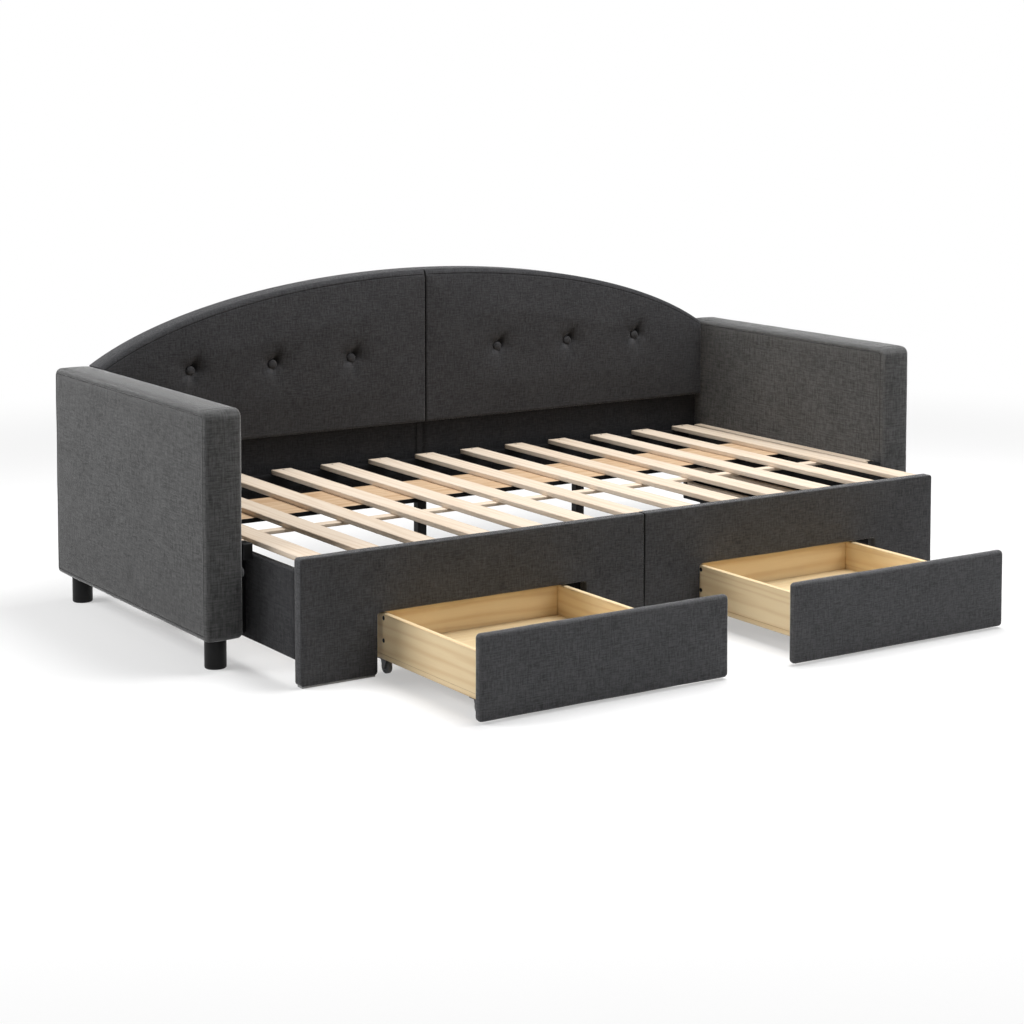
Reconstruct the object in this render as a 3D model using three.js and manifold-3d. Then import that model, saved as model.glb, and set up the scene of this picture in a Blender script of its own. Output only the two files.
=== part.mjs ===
// A storage daybed: two upholstered arms, an arched and buttoned back in two halves, a slatted
// deck that stands forward of the arms, and two drawers on castors that roll out below it.
// Millimetres, +Z up, the open drawers towards -Y. The origin is on the floor, under the middle.

import * as THREE from "three";
import { RoundedBoxGeometry } from "three/addons/geometries/RoundedBoxGeometry.js";
import { mergeVertices } from "three/addons/utils/BufferGeometryUtils.js";
import Module from "manifold-3d";

const wasm = await Module();
wasm.setup();

// Clearances and the one overrun of all cuts and joins
const contactGap = 0.3;
const overrun = 4;

// Arms and their legs
const overallLength = 2110;
const armThickness = 95;
const armDepth = 875;
const armTopHeight = 597;
const armEdgeRadius = 12;
const legHeight = 72;
const legRadius = 25.5;
const legEdge = 2;
const legInset = 52;

// Back: a board carrying a foam pad, both under one flat arch that ends at the arms
const shellThickness = 46;
const shellBottomHeight = 157;
const shellEdge = 3;
const archRise = 203;
const archOverreach = 140;
const padThickness = 40;
const padAboveDeck = 89;
const padEdgeDepth = 16;
const padEdgeInset = 14;
const padCrown = 10;
const padDrawIn = 2.5;

// Buttons and the tufts that they pull into the pad
const buttonRadius = 13;
const buttonThickness = 9;
const buttonEdge = 2;
const buttonFirst = 235;
const buttonEndInset = 249;
const buttonLift = 195;
const buttonsPerPad = 3;
const tuftDepth = 15;
const tuftRadius = 62;

// Base: side panels, front panel with its two drawer openings, and rails along the arms
const platformReach = 222;
const sideClearance = 26;
const sidePanelThickness = 20;
const sidePanelLift = 60;
const sidePanelDrop = 15;
const armRailSetback = 3;
const frontThickness = 28;
const frontTopHeight = 290;
const frontLift = 5;
const frontEdge = 6;
const frontCornerRadius = 8;
const openingInner = 169;
const openingEndMargin = 190;
const openingHeight = 142;
const glideRadius = 11;

// Slatted deck, on a rail at the front and the rear and a board across its middle
const deckDrop = 3;
const slatThickness = 12;
const slatWidth = 60;
const slatCount = 13;
const slatSideGap = 16;
const slatFrontGap = 4;
const slatRearGap = 17;
const battenWidth = 30;
const battenThickness = 9;
const battenHousing = 1;
const battenPlace = 165;
const deckRailDepth = 28;
const deckRailHeight = 40;
const middleBoardWidth = 215;
const middleBoardThickness = 12;
const middleBoardPlace = 424;
const centreLegWidth = 36;
const centreLegPlace = 247;
const centreLegSetForward = 6;
const edgeStripFrontGap = 28;
const edgeStripRearGap = 29;

// Drawers, shown rolled out. Their boxes don't stand alike in their openings.
const drawerCloseGap = 3;
const drawerHold = 37;
const drawerFrontThickness = 20;
const drawerFrontEdge = 5;
const frontOverlapInner = 75;
const frontOverlapOuter = 8;
const frontOverlapTop = 45;
const drawerBoxPlay = 73;
const leftBoxOuterGap = 20;
const rightBoxInnerGap = 3;
const drawerBoxDepth = 464;
const drawerBoxHeadroom = 5;
const drawerBoardThickness = 14;
const drawerBottomThickness = 6;
const drawerBottomLift = 27;

// Castors
const wheelRadius = 16;
const wheelWidth = 13;
const wheelEdge = 2;
const axleRadius = 2.5;
const axleClearance = 0.4;
const cheekGap = 1.2;
const bracketThickness = 1.7;
const bracketLength = 38;
const bracketWidth = 32;
const bracketFoot = 6;
const forkClearance = 3;
const castorFrontInset = 49;
const castorRearInset = 20;
const castorSideInset = 18;

// Facets round a turned piece and steps across an eased edge
const turnedFacets = 24;
const pinFacets = 12;
const edgeSteps = 2;
const padColumns = 34;
const padRows = 18;

// Places that follow from the sizes above
const halfLength = overallLength / 2;
const halfInner = halfLength - armThickness;
const deckEdge = halfInner - sideClearance;
const deckInner = deckEdge - sidePanelThickness;
const shellFront = armDepth - shellThickness;
const padFront = shellFront - padThickness;
const panelFront = -platformReach;
const panelRear = panelFront + frontThickness;
const slatTop = frontTopHeight - deckDrop;
const slatUnderside = slatTop - slatThickness;
const padBottom = slatTop + padAboveDeck;
const buttonHeight = padBottom + buttonLift;
const openingOuter = deckEdge - openingEndMargin;
const openingTop = frontLift + openingHeight;
const drawerTravel = drawerBoxDepth - drawerCloseGap - drawerHold;
const drawerFaceRear = panelFront - drawerCloseGap - drawerTravel;
const drawerFaceFront = drawerFaceRear - drawerFrontThickness;
const drawerBoxWidth = openingOuter - openingInner - drawerBoxPlay;
const drawerBoxRear = drawerFaceRear + drawerBoxDepth;
const drawerBoxTop = openingTop - drawerBoxHeadroom;
const drawerBoxBottom = 2 * wheelRadius + forkClearance + bracketThickness + contactGap;
const footprintMiddle = (armDepth + drawerFaceFront) / 2;

const fabricDark = new THREE.MeshStandardMaterial({ color: 0x3d3e40, roughness: 0.95, metalness: 0 });
const fabricShade = new THREE.MeshStandardMaterial({ color: 0x2d2e30, roughness: 0.95, metalness: 0 });
const pinePale = new THREE.MeshStandardMaterial({ color: 0xeaddc8, roughness: 0.6, metalness: 0 });
const pineWarm = new THREE.MeshStandardMaterial({ color: 0xe0c795, roughness: 0.55, metalness: 0 });
const blackWood = new THREE.MeshStandardMaterial({ color: 0x141415, roughness: 0.45, metalness: 0 });
const blackSteel = new THREE.MeshStandardMaterial({ color: 0x232426, roughness: 0.4, metalness: 0.7 });
const greyTyre = new THREE.MeshStandardMaterial({ color: 0x8d9093, roughness: 0.6, metalness: 0 });
const blackPlastic = new THREE.MeshStandardMaterial({ color: 0x1b1b1c, roughness: 0.5, metalness: 0 });

// A closed geometry as a solid for cutting and joining, and back again

function solidOf(geometry) {
  const bare = geometry.clone();
  bare.deleteAttribute("normal");
  bare.deleteAttribute("uv");
  const merged = mergeVertices(bare, contactGap / 100);
  return new wasm.Manifold(
    new wasm.Mesh({
      numProp: 3,
      vertProperties: new Float32Array(merged.attributes.position.array),
      triVerts: new Uint32Array(merged.index.array),
    }),
  );
}

function geometryOf(solid) {
  const mesh = solid.getMesh();
  const geometry = new THREE.BufferGeometry();
  geometry.setAttribute("position", new THREE.BufferAttribute(mesh.vertProperties, mesh.numProp));
  geometry.setIndex(new THREE.BufferAttribute(mesh.triVerts, 1));
  return geometry;
}

function joined(geometries) {
  return geometryOf(geometries.map(solidOf).reduce((whole, next) => whole.add(next)));
}

// A named mesh; side is -1 on the left and 1 on the right

function piece(name, geometry, material) {
  const mesh = new THREE.Mesh(geometry, material);
  mesh.name = name;
  return mesh;
}

function sideName(side) {
  return side < 0 ? "left" : "right";
}

// A plain board between two opposite corners

function board(low, high) {
  const size = high.map((value, i) => value - low[i]);
  const middle = high.map((value, i) => (value + low[i]) / 2);
  return new THREE.BoxGeometry(...size).translate(...middle);
}

// A board between two opposite corners with softly rounded edges, as tight upholstery has

function softBoard(low, high, radius) {
  const size = high.map((value, i) => value - low[i]);
  const middle = high.map((value, i) => (value + low[i]) / 2);
  return new RoundedBoxGeometry(...size, edgeSteps, radius).translate(...middle);
}

// An outline in X and Z from corners [x, z, radius], each eased by its radius, or sharp where that is 0

function roundedOutline(corners) {
  const shape = new THREE.Shape();
  corners.forEach(([x, z, radius], i) => {
    const here = new THREE.Vector2(x, z);
    const [beforeX, beforeZ] = corners[(i + corners.length - 1) % corners.length];
    const [afterX, afterZ] = corners[(i + 1) % corners.length];
    const start = new THREE.Vector2(beforeX, beforeZ).sub(here).setLength(radius).add(here);
    const end = new THREE.Vector2(afterX, afterZ).sub(here).setLength(radius).add(here);
    if (i === 0) shape.moveTo(start.x, start.y);
    else shape.lineTo(start.x, start.y);
    if (radius > 0) shape.quadraticCurveTo(here.x, here.y, end.x, end.y);
  });
  shape.closePath();
  return shape;
}

// A plate that stands upright, its outline in X and Z, from front to front + thickness in Y

function uprightPlate(shape, front, thickness, edge) {
  const plate = new THREE.ExtrudeGeometry(shape, {
    depth: thickness - 2 * edge,
    bevelEnabled: true,
    bevelThickness: edge,
    bevelSize: edge,
    bevelOffset: -edge,
    bevelSegments: edgeSteps,
    curveSegments: edgeSteps,
  });
  return plate.rotateX(Math.PI / 2).translate(0, front + thickness - edge, 0);
}

// A piece turned about the vertical, from a profile of [radius, height] that starts and ends on the axis

function turnedUpright(profile, facets) {
  const points = profile.map(([radius, height]) => new THREE.Vector2(radius, height));
  return new THREE.LatheGeometry(points, facets).rotateX(Math.PI / 2);
}

// Height of the arch over a place across the back: a flat stretch of an ellipse

function archHeight(x) {
  const semiWidth = halfInner + archOverreach;
  const fall = (place) => 1 - Math.sqrt(1 - (place / semiWidth) ** 2);
  return armTopHeight + archRise * (1 - fall(x) / fall(halfInner));
}

function arm(side) {
  const inner = side * halfInner;
  const outer = side * halfLength;
  const low = [Math.min(inner, outer), 0, legHeight];
  const high = [Math.max(inner, outer), armDepth, armTopHeight];
  return piece(`arm_${sideName(side)}`, softBoard(low, high, armEdgeRadius), fabricDark);
}

function armLeg(side, end) {
  const top = legHeight - contactGap;
  const profile = [
    [0, 0],
    [legRadius - legEdge, 0],
    [legRadius, legEdge],
    [legRadius, top],
    [0, top],
  ];
  const leg = piece(`arm_leg_${end}_${sideName(side)}`, turnedUpright(profile, turnedFacets), blackWood);
  const y = end === "front" ? legInset : armDepth - legInset;
  leg.position.set(side * (halfLength - armThickness / 2), y, 0);
  return leg;
}

// One half of the back board: straight below, arched above

function backShell(side) {
  const seam = contactGap / 2;
  const end = halfInner - contactGap;
  const steps = padColumns;
  const shape = new THREE.Shape();
  shape.moveTo(side * seam, shellBottomHeight);
  shape.lineTo(side * end, shellBottomHeight);
  for (let i = 0; i <= steps; i += 1) {
    const x = end + ((seam - end) * i) / steps;
    shape.lineTo(side * x, archHeight(x));
  }
  shape.closePath();
  const plate = uprightPlate(shape, shellFront, shellThickness, shellEdge);
  return piece(`back_shell_${sideName(side)}`, plate, fabricShade);
}

// How far a place on a pad is pulled in by its buttons, from 0 to 1

function tuftPull(x, z) {
  let pull = 0;
  for (let i = 0; i < buttonsPerPad; i += 1) {
    const away = Math.hypot(x - buttonPlace(i), z - buttonHeight) / tuftRadius;
    pull = Math.max(pull, Math.exp(-4 * away * away));
  }
  return pull;
}

function buttonPlace(i) {
  return buttonFirst + ((halfInner - buttonEndInset - buttonFirst) * i) / (buttonsPerPad - 1);
}

// One half of the back's foam pad: a crowned face with sewn tufts, sides that pull in between the
// corners, a rolled edge and a flat back against the board. across and up run from 0 to 1.

function backPad(side) {
  const inner = contactGap;
  const outer = halfInner - contactGap;
  const rear = shellFront - contactGap;

  const place = (across, up, inset, y) => {
    const pulledIn = padDrawIn * Math.sin(Math.PI * up) * (1 - 2 * across);
    const x = inner + inset + (outer - inner - 2 * inset) * across + pulledIn;
    const low = padBottom + inset + padDrawIn * Math.sin(Math.PI * across);
    const high = archHeight(Math.min(x, outer)) - inset;
    return [side * x, y, low + (high - low) * up];
  };

  const face = (across, up) => {
    const crown = Math.sqrt(Math.sin(Math.PI * across) * Math.sin(Math.PI * up));
    const [x, , z] = place(across, up, padEdgeInset, 0);
    const setBack = padCrown * (1 - crown);
    return [x, padFront + setBack + (tuftDepth - setBack) * tuftPull(Math.abs(x), z), z];
  };

  const rim = [];
  for (let i = 0; i < padColumns; i += 1) rim.push([i / padColumns, 0]);
  for (let j = 0; j < padRows; j += 1) rim.push([1, j / padRows]);
  for (let i = padColumns; i > 0; i -= 1) rim.push([i / padColumns, 1]);
  for (let j = padRows; j > 0; j -= 1) rim.push([0, j / padRows]);

  const points = [];
  const triangles = [];
  const columnStart = [];
  for (let i = 0; i <= padColumns; i += 1) {
    columnStart.push(points.length);
    for (let j = 0; j <= padRows; j += 1) points.push(face(i / padColumns, j / padRows));
  }
  for (let i = 0; i < padColumns; i += 1) {
    for (let j = 0; j < padRows; j += 1) {
      const a = columnStart[i] + j;
      const b = columnStart[i + 1] + j;
      triangles.push([a, b, b + 1], [a, b + 1, a + 1]);
    }
  }

  const faceRing = rim.map(([across, up]) => columnStart[Math.round(across * padColumns)] + Math.round(up * padRows));
  const addRing = (inset, y) => rim.map(([across, up]) => points.push(place(across, up, inset, y)) - 1);
  const edgeRing = addRing(0, padFront + padEdgeDepth);
  const rearRing = addRing(0, rear);
  for (const [near, far] of [[faceRing, edgeRing], [edgeRing, rearRing]]) {
    near.forEach((here, k) => {
      const next = (k + 1) % near.length;
      triangles.push([here, far[k], far[next]], [here, far[next], near[next]]);
    });
  }

  const rearOutline = rearRing.map((index) => new THREE.Vector2(side * points[index][0], points[index][2]));
  for (const [a, b, c] of THREE.ShapeUtils.triangulateShape(rearOutline, [])) {
    triangles.push([rearRing[a], rearRing[c], rearRing[b]]);
  }

  const facing = side < 0 ? triangles.map(([a, b, c]) => [a, c, b]) : triangles;
  const geometry = new THREE.BufferGeometry();
  geometry.setAttribute("position", new THREE.Float32BufferAttribute(points.flat(), 3));
  geometry.setIndex(facing.flat());
  const seats = joined([...Array(buttonsPerPad).keys()].map((i) => buttonSeat(side, i)));
  return piece(`back_pad_${sideName(side)}`, geometryOf(solidOf(geometry).subtract(solidOf(seats))), fabricDark);
}

// The flat seat pressed into a pad by a button, as the space to cut

function buttonSeat(side, i) {
  const radius = buttonRadius + contactGap;
  const seat = new THREE.CylinderGeometry(radius, radius, tuftDepth + overrun, turnedFacets);
  return seat.translate(side * buttonPlace(i), padFront + (tuftDepth - overrun) / 2, buttonHeight);
}

// A domed button seated at the bottom of its tuft

function backButton(side, i) {
  const profile = [
    [0, 0],
    [buttonRadius - buttonEdge, 0],
    [buttonRadius, buttonEdge],
    [buttonRadius, buttonThickness / 2],
    [buttonRadius * Math.SQRT1_2, buttonThickness - buttonEdge / 2],
    [0, buttonThickness],
  ];
  const points = profile.map(([radius, height]) => new THREE.Vector2(radius, height));
  const geometry = new THREE.LatheGeometry(points, turnedFacets).rotateX(Math.PI);
  const button = piece(`back_button_${sideName(side)}_${i + 1}`, geometry, fabricDark);
  button.position.set(side * buttonPlace(i), padFront + tuftDepth - contactGap, buttonHeight);
  return button;
}

function sidePanel(side) {
  const top = slatUnderside - sidePanelDrop;
  const low = [side < 0 ? -deckEdge : deckInner, panelRear + contactGap, sidePanelLift];
  const high = [side < 0 ? -deckInner : deckEdge, shellFront - contactGap, top];
  return piece(`side_panel_${sideName(side)}`, board(low, high), fabricDark);
}

// The rail that ties a side panel to its arm

function armRail(side) {
  const near = deckEdge + contactGap;
  const far = halfInner - contactGap;
  const low = [side < 0 ? -far : near, armRailSetback, legHeight];
  const high = [side < 0 ? -near : far, shellFront - contactGap, slatUnderside - contactGap];
  return piece(`arm_rail_${sideName(side)}`, board(low, high), fabricShade);
}

// The pale strip that lies on an arm rail, level with the slats

function edgeStrip(side) {
  const near = deckEdge + contactGap;
  const far = halfInner - contactGap;
  const low = [side < 0 ? -far : near, edgeStripFrontGap, slatUnderside];
  const high = [side < 0 ? -near : far, shellFront - edgeStripRearGap, slatTop];
  return piece(`edge_strip_${sideName(side)}`, board(low, high), pinePale);
}

// One half of the front panel, cut away from below for its drawer

function frontPanel(side) {
  const seam = contactGap / 2;
  const corners = [
    [side * seam, frontLift, 0],
    [side * openingInner, frontLift, frontCornerRadius],
    [side * openingInner, openingTop, frontCornerRadius],
    [side * openingOuter, openingTop, frontCornerRadius],
    [side * openingOuter, frontLift, frontCornerRadius],
    [side * deckEdge, frontLift, frontCornerRadius],
    [side * deckEdge, frontTopHeight, frontCornerRadius],
    [side * seam, frontTopHeight, 0],
  ];
  const plate = uprightPlate(roundedOutline(corners), panelFront, frontThickness, frontEdge);
  return piece(`front_panel_${sideName(side)}`, plate, fabricDark);
}

// A glide under one foot of the front panel

function frontGlide(name, x) {
  const top = frontLift - contactGap;
  const profile = [
    [0, 0],
    [glideRadius, 0],
    [glideRadius, top],
    [0, top],
  ];
  const glide = piece(`front_glide_${name}`, turnedUpright(profile, pinFacets), blackPlastic);
  glide.position.set(x, panelFront + frontThickness / 2, 0);
  return glide;
}

// The rails that the slats' ends lie on, one behind the front panel and one before the back

function deckRail(end) {
  const reach = deckInner - contactGap;
  const top = slatUnderside - contactGap;
  const front = end === "front" ? panelRear + contactGap : shellFront - contactGap - deckRailDepth;
  const low = [-reach, front, top - deckRailHeight];
  const cover = end === "front" ? pineWarm : fabricShade;
  return piece(`deck_rail_${end}`, board(low, [reach, front + deckRailDepth, top]), cover);
}

// The flat board across the middle of the deck, and the two legs that carry it

function middleBoard() {
  const reach = deckInner - contactGap;
  const front = middleBoardPlace - middleBoardWidth / 2;
  const top = slatUnderside - contactGap;
  const low = [-reach, front, top - middleBoardThickness];
  return piece("middle_board", board(low, [reach, front + middleBoardWidth, top]), pineWarm);
}

function centreLeg(side) {
  const x = side * centreLegPlace;
  const y = middleBoardPlace - centreLegSetForward;
  const half = centreLegWidth / 2;
  const top = slatUnderside - middleBoardThickness - 2 * contactGap;
  return piece(`centre_leg_${sideName(side)}`, board([x - half, y - half, 0], [x + half, y + half, top]), blackWood);
}

// The slats, held in step by a batten let into their undersides

function slatSet() {
  const front = panelRear + slatFrontGap;
  const rear = shellFront - slatRearGap;
  const first = -(deckEdge - slatSideGap - slatWidth / 2);
  const pitch = (-2 * first) / (slatCount - 1);
  const bars = [];
  for (let i = 0; i < slatCount; i += 1) {
    const middle = first + i * pitch;
    const low = [middle - slatWidth / 2, front, slatUnderside];
    bars.push(board(low, [middle + slatWidth / 2, rear, slatTop]));
  }
  const battenTop = slatUnderside + battenHousing;
  const battenFront = battenPlace - battenWidth / 2;
  const battenLow = [first, battenFront, battenTop - battenThickness];
  bars.push(board(battenLow, [-first, battenFront + battenWidth, battenTop]));
  return piece("slat_set", joined(bars), pinePale);
}

// A drawer's upholstered front, longer and taller than the opening that it covers

function drawerFront(side) {
  const inner = side * (openingInner - frontOverlapInner);
  const outer = side * (openingOuter + frontOverlapOuter);
  const top = openingTop + frontOverlapTop;
  const corners = [
    [inner, frontLift, frontCornerRadius],
    [outer, frontLift, frontCornerRadius],
    [outer, top, frontCornerRadius],
    [inner, top, frontCornerRadius],
  ];
  const plate = uprightPlate(roundedOutline(corners), drawerFaceFront, drawerFrontThickness, drawerFrontEdge);
  return piece(`drawer_${sideName(side)}_front`, plate, fabricDark);
}

// The plywood box behind a drawer front: two sides, a back and a bottom between them

function drawerBox(side) {
  const name = `drawer_${sideName(side)}`;
  const middle = drawerBoxMiddle(side);
  const left = middle - drawerBoxWidth / 2;
  const right = middle + drawerBoxWidth / 2;
  const front = drawerFaceRear + contactGap;
  const innerLeft = left + drawerBoardThickness;
  const innerRight = right - drawerBoardThickness;
  const backFront = drawerBoxRear - drawerBoardThickness;
  const floor = drawerBoxBottom + drawerBottomLift;
  const sideLow = [left, front, drawerBoxBottom];
  const sideHigh = [innerLeft, drawerBoxRear, drawerBoxTop];
  const farLow = [innerRight, front, drawerBoxBottom];
  const farHigh = [right, drawerBoxRear, drawerBoxTop];
  const backLow = [innerLeft + contactGap, backFront, drawerBoxBottom];
  const backHigh = [innerRight - contactGap, drawerBoxRear, drawerBoxTop];
  const floorLow = [innerLeft + contactGap, front, floor];
  const floorHigh = [innerRight - contactGap, backFront - contactGap, floor + drawerBottomThickness];
  return [
    piece(`${name}_side_left`, board(sideLow, sideHigh), pineWarm),
    piece(`${name}_side_right`, board(farLow, farHigh), pineWarm),
    piece(`${name}_back`, board(backLow, backHigh), pineWarm),
    piece(`${name}_bottom`, board(floorLow, floorHigh), pineWarm),
  ];
}

// The middle of a drawer's box: each box keeps its own gap to one side of its opening

function drawerBoxMiddle(side) {
  if (side < 0) return leftBoxOuterGap + drawerBoxWidth / 2 - openingOuter;
  return openingInner + rightBoxInnerGap + drawerBoxWidth / 2;
}

// A fixed castor's bracket: a plate, two cheeks and the axle riveted between them.
// It is drawn about the axle, along X.

function castorBracket() {
  const plateTop = drawerBoxBottom - contactGap - wheelRadius;
  const plateBottom = plateTop - bracketThickness;
  const inside = wheelWidth / 2 + cheekGap;
  const outside = inside + bracketThickness;
  const plateLow = [-bracketWidth / 2, -bracketLength / 2, plateBottom];
  const parts = [board(plateLow, [bracketWidth / 2, bracketLength / 2, plateTop])];
  const topReach = bracketLength / 2 - bracketFoot;
  for (const start of [-outside, inside]) {
    const cheek = new THREE.Shape();
    cheek.moveTo(-topReach, (plateTop + plateBottom) / 2);
    cheek.lineTo(-bracketFoot, 0);
    cheek.absarc(0, 0, bracketFoot, Math.PI, 2 * Math.PI, false);
    cheek.lineTo(topReach, (plateTop + plateBottom) / 2);
    cheek.closePath();
    const settings = { depth: bracketThickness, bevelEnabled: false, curveSegments: pinFacets / 2 };
    const sheet = new THREE.ExtrudeGeometry(cheek, settings);
    parts.push(sheet.rotateX(Math.PI / 2).rotateZ(Math.PI / 2).translate(start, 0, 0));
  }
  const axle = new THREE.CylinderGeometry(axleRadius, axleRadius, 2 * outside, pinFacets);
  parts.push(axle.rotateZ(Math.PI / 2));
  return joined(parts);
}

// A castor's wheel, bored for the axle

function castorWheel() {
  const bore = axleRadius + axleClearance;
  const half = wheelWidth / 2;
  const profile = [
    [bore, -half],
    [wheelRadius - wheelEdge, -half],
    [wheelRadius, wheelEdge - half],
    [wheelRadius, half - wheelEdge],
    [wheelRadius - wheelEdge, half],
    [bore, half],
    [bore, -half],
  ];
  const points = profile.map(([radius, along]) => new THREE.Vector2(radius, along));
  return new THREE.LatheGeometry(points, turnedFacets).rotateZ(Math.PI / 2);
}

// Four castors under a drawer, set in from the ends of its box

function drawerCastors(side) {
  const middle = drawerBoxMiddle(side);
  const across = drawerBoxWidth / 2 - castorSideInset;
  const rows = { front: drawerFaceRear + castorFrontInset, rear: drawerBoxRear - castorRearInset };
  const meshes = [];
  for (const [end, y] of Object.entries(rows)) {
    for (const hand of [-1, 1]) {
      const place = `${sideName(side)}_drawer_${end}_${sideName(hand)}`;
      const bracket = piece(`castor_bracket_${place}`, castorBracket(), blackSteel);
      const wheel = piece(`castor_wheel_${place}`, castorWheel(), greyTyre);
      for (const mesh of [bracket, wheel]) {
        mesh.position.set(middle + hand * across, y, wheelRadius);
        meshes.push(mesh);
      }
    }
  }
  return meshes;
}

// The whole daybed, moved so that its footprint is centred on the origin

const daybed = new THREE.Group();
const standing = new THREE.Group();
for (const side of [-1, 1]) {
  standing.add(arm(side), armLeg(side, "front"), armLeg(side, "rear"));
  standing.add(backShell(side), backPad(side), centreLeg(side));
  for (let i = 0; i < buttonsPerPad; i += 1) standing.add(backButton(side, i));
  standing.add(sidePanel(side), armRail(side), edgeStrip(side), frontPanel(side));
  standing.add(drawerFront(side), ...drawerBox(side), ...drawerCastors(side));
}
const outerFoot = (openingOuter + deckEdge) / 2;
standing.add(frontGlide("left", -outerFoot), frontGlide("middle", 0), frontGlide("right", outerFoot));
standing.add(deckRail("front"), deckRail("rear"), middleBoard(), slatSet());
standing.position.y = -footprintMiddle;
daybed.add(standing);

export default daybed;
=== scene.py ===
"""A storage daybed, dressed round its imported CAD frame: linen upholstery, pine slats and drawers, castors."""

import sys

import logging
import math
from dataclasses import dataclass, field
from enum import Enum
from typing import Any, Callable, Iterable, Sequence

import bmesh
import bpy
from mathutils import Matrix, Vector, noise


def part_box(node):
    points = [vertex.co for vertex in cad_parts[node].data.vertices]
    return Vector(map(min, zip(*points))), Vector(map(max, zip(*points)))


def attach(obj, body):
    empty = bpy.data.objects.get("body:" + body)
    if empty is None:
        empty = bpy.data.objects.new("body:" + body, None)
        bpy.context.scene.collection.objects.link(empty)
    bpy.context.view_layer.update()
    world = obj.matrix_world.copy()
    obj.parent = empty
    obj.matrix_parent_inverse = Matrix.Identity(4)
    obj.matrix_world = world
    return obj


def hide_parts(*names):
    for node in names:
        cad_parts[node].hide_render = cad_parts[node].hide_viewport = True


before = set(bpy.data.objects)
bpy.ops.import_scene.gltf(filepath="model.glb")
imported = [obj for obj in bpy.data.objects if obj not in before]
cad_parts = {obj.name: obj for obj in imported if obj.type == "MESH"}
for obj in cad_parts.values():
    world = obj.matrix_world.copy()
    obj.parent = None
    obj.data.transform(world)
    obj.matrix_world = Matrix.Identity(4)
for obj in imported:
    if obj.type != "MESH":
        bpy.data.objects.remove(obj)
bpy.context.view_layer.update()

LOG = logging.getLogger("daybed")
Colour = tuple[float, float, float, float]
Outline = Sequence[tuple[float, float]]
Span = Sequence[float]
Shape = bmesh.types.BMesh
Edge = bmesh.types.BMEdge
Vert = bmesh.types.BMVert
Finish = bpy.types.Material

BASE = "base"
WHITE = (1.0, 1.0, 1.0, 1.0)
ROW_TO_ARMS = 0.103
SAME_POINT = 1e-6
SAME_PLACE = 1e-5
HAIR = 0.0001
NEAR = 0.001
FACING = 0.99
ALONG = 0.999


class Axis(Enum):
    """A direction of the frame."""

    X = 0
    Y = 1
    Z = 2

    @property
    def unit(self) -> Vector:
        """The direction as a vector of length one."""
        return Vector([1.0 if place == self.value else 0.0 for place in range(3)])


class Hand(Enum):
    """The object's left and right, seen from the front."""

    LEFT = -1
    RIGHT = 1

    @property
    def word(self) -> str:
        """The hand's name in piece names."""
        return self.name.lower()

    def outer(self, low: Vector, high: Vector) -> float:
        """Where the side of a box lies that looks to this hand."""
        return high.x if self is Hand.RIGHT else low.x

    def inner(self, low: Vector, high: Vector) -> float:
        """Where the side of a box lies that looks away from this hand."""
        return low.x if self is Hand.RIGHT else high.x


class Slot(Enum):
    """The material slots, by name, that the pieces' roles hold."""

    CLOTH = "upholstery"
    SHADE = "upholstery_shade"
    SLAT = "slat_pine"
    DRAWER = "drawer_pine"
    LEG = "leg_black"
    STEEL = "castor_steel"
    TYRE = "castor_tyre"
    GLIDE = "glide_plastic"


class Mark(Enum):
    """What the points of a mesh tell its finish, as a number that is 0 where there is nothing to tell."""

    # Worn, rubbed edges, and also painted highlight on the ridges below the pads' buttons.
    WEAR = "edge_wear"
    # Dark seams and joints, and also painted shade in the tufts' creases, along the pads' joint and foot, under
    # the buttons and beside the back's join strip.
    SEAM = "seam"


def paint(red: float, green: float, blue: float) -> Colour:
    """Turns a screen colour into the linear one that a shader takes.

    Args:
        red: The red channel, 0 to 255.
        green: The green channel, 0 to 255.
        blue: The blue channel, 0 to 255.

    Returns:
        The linear colour with full alpha.
    """
    channels = [value / 255 for value in (red, green, blue)]
    linear = [((c + 0.055) / 1.055) ** 2.4 if c > 0.04045 else c / 12.92 for c in channels]
    return (linear[0], linear[1], linear[2], 1.0)


# --- shader maths


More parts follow.
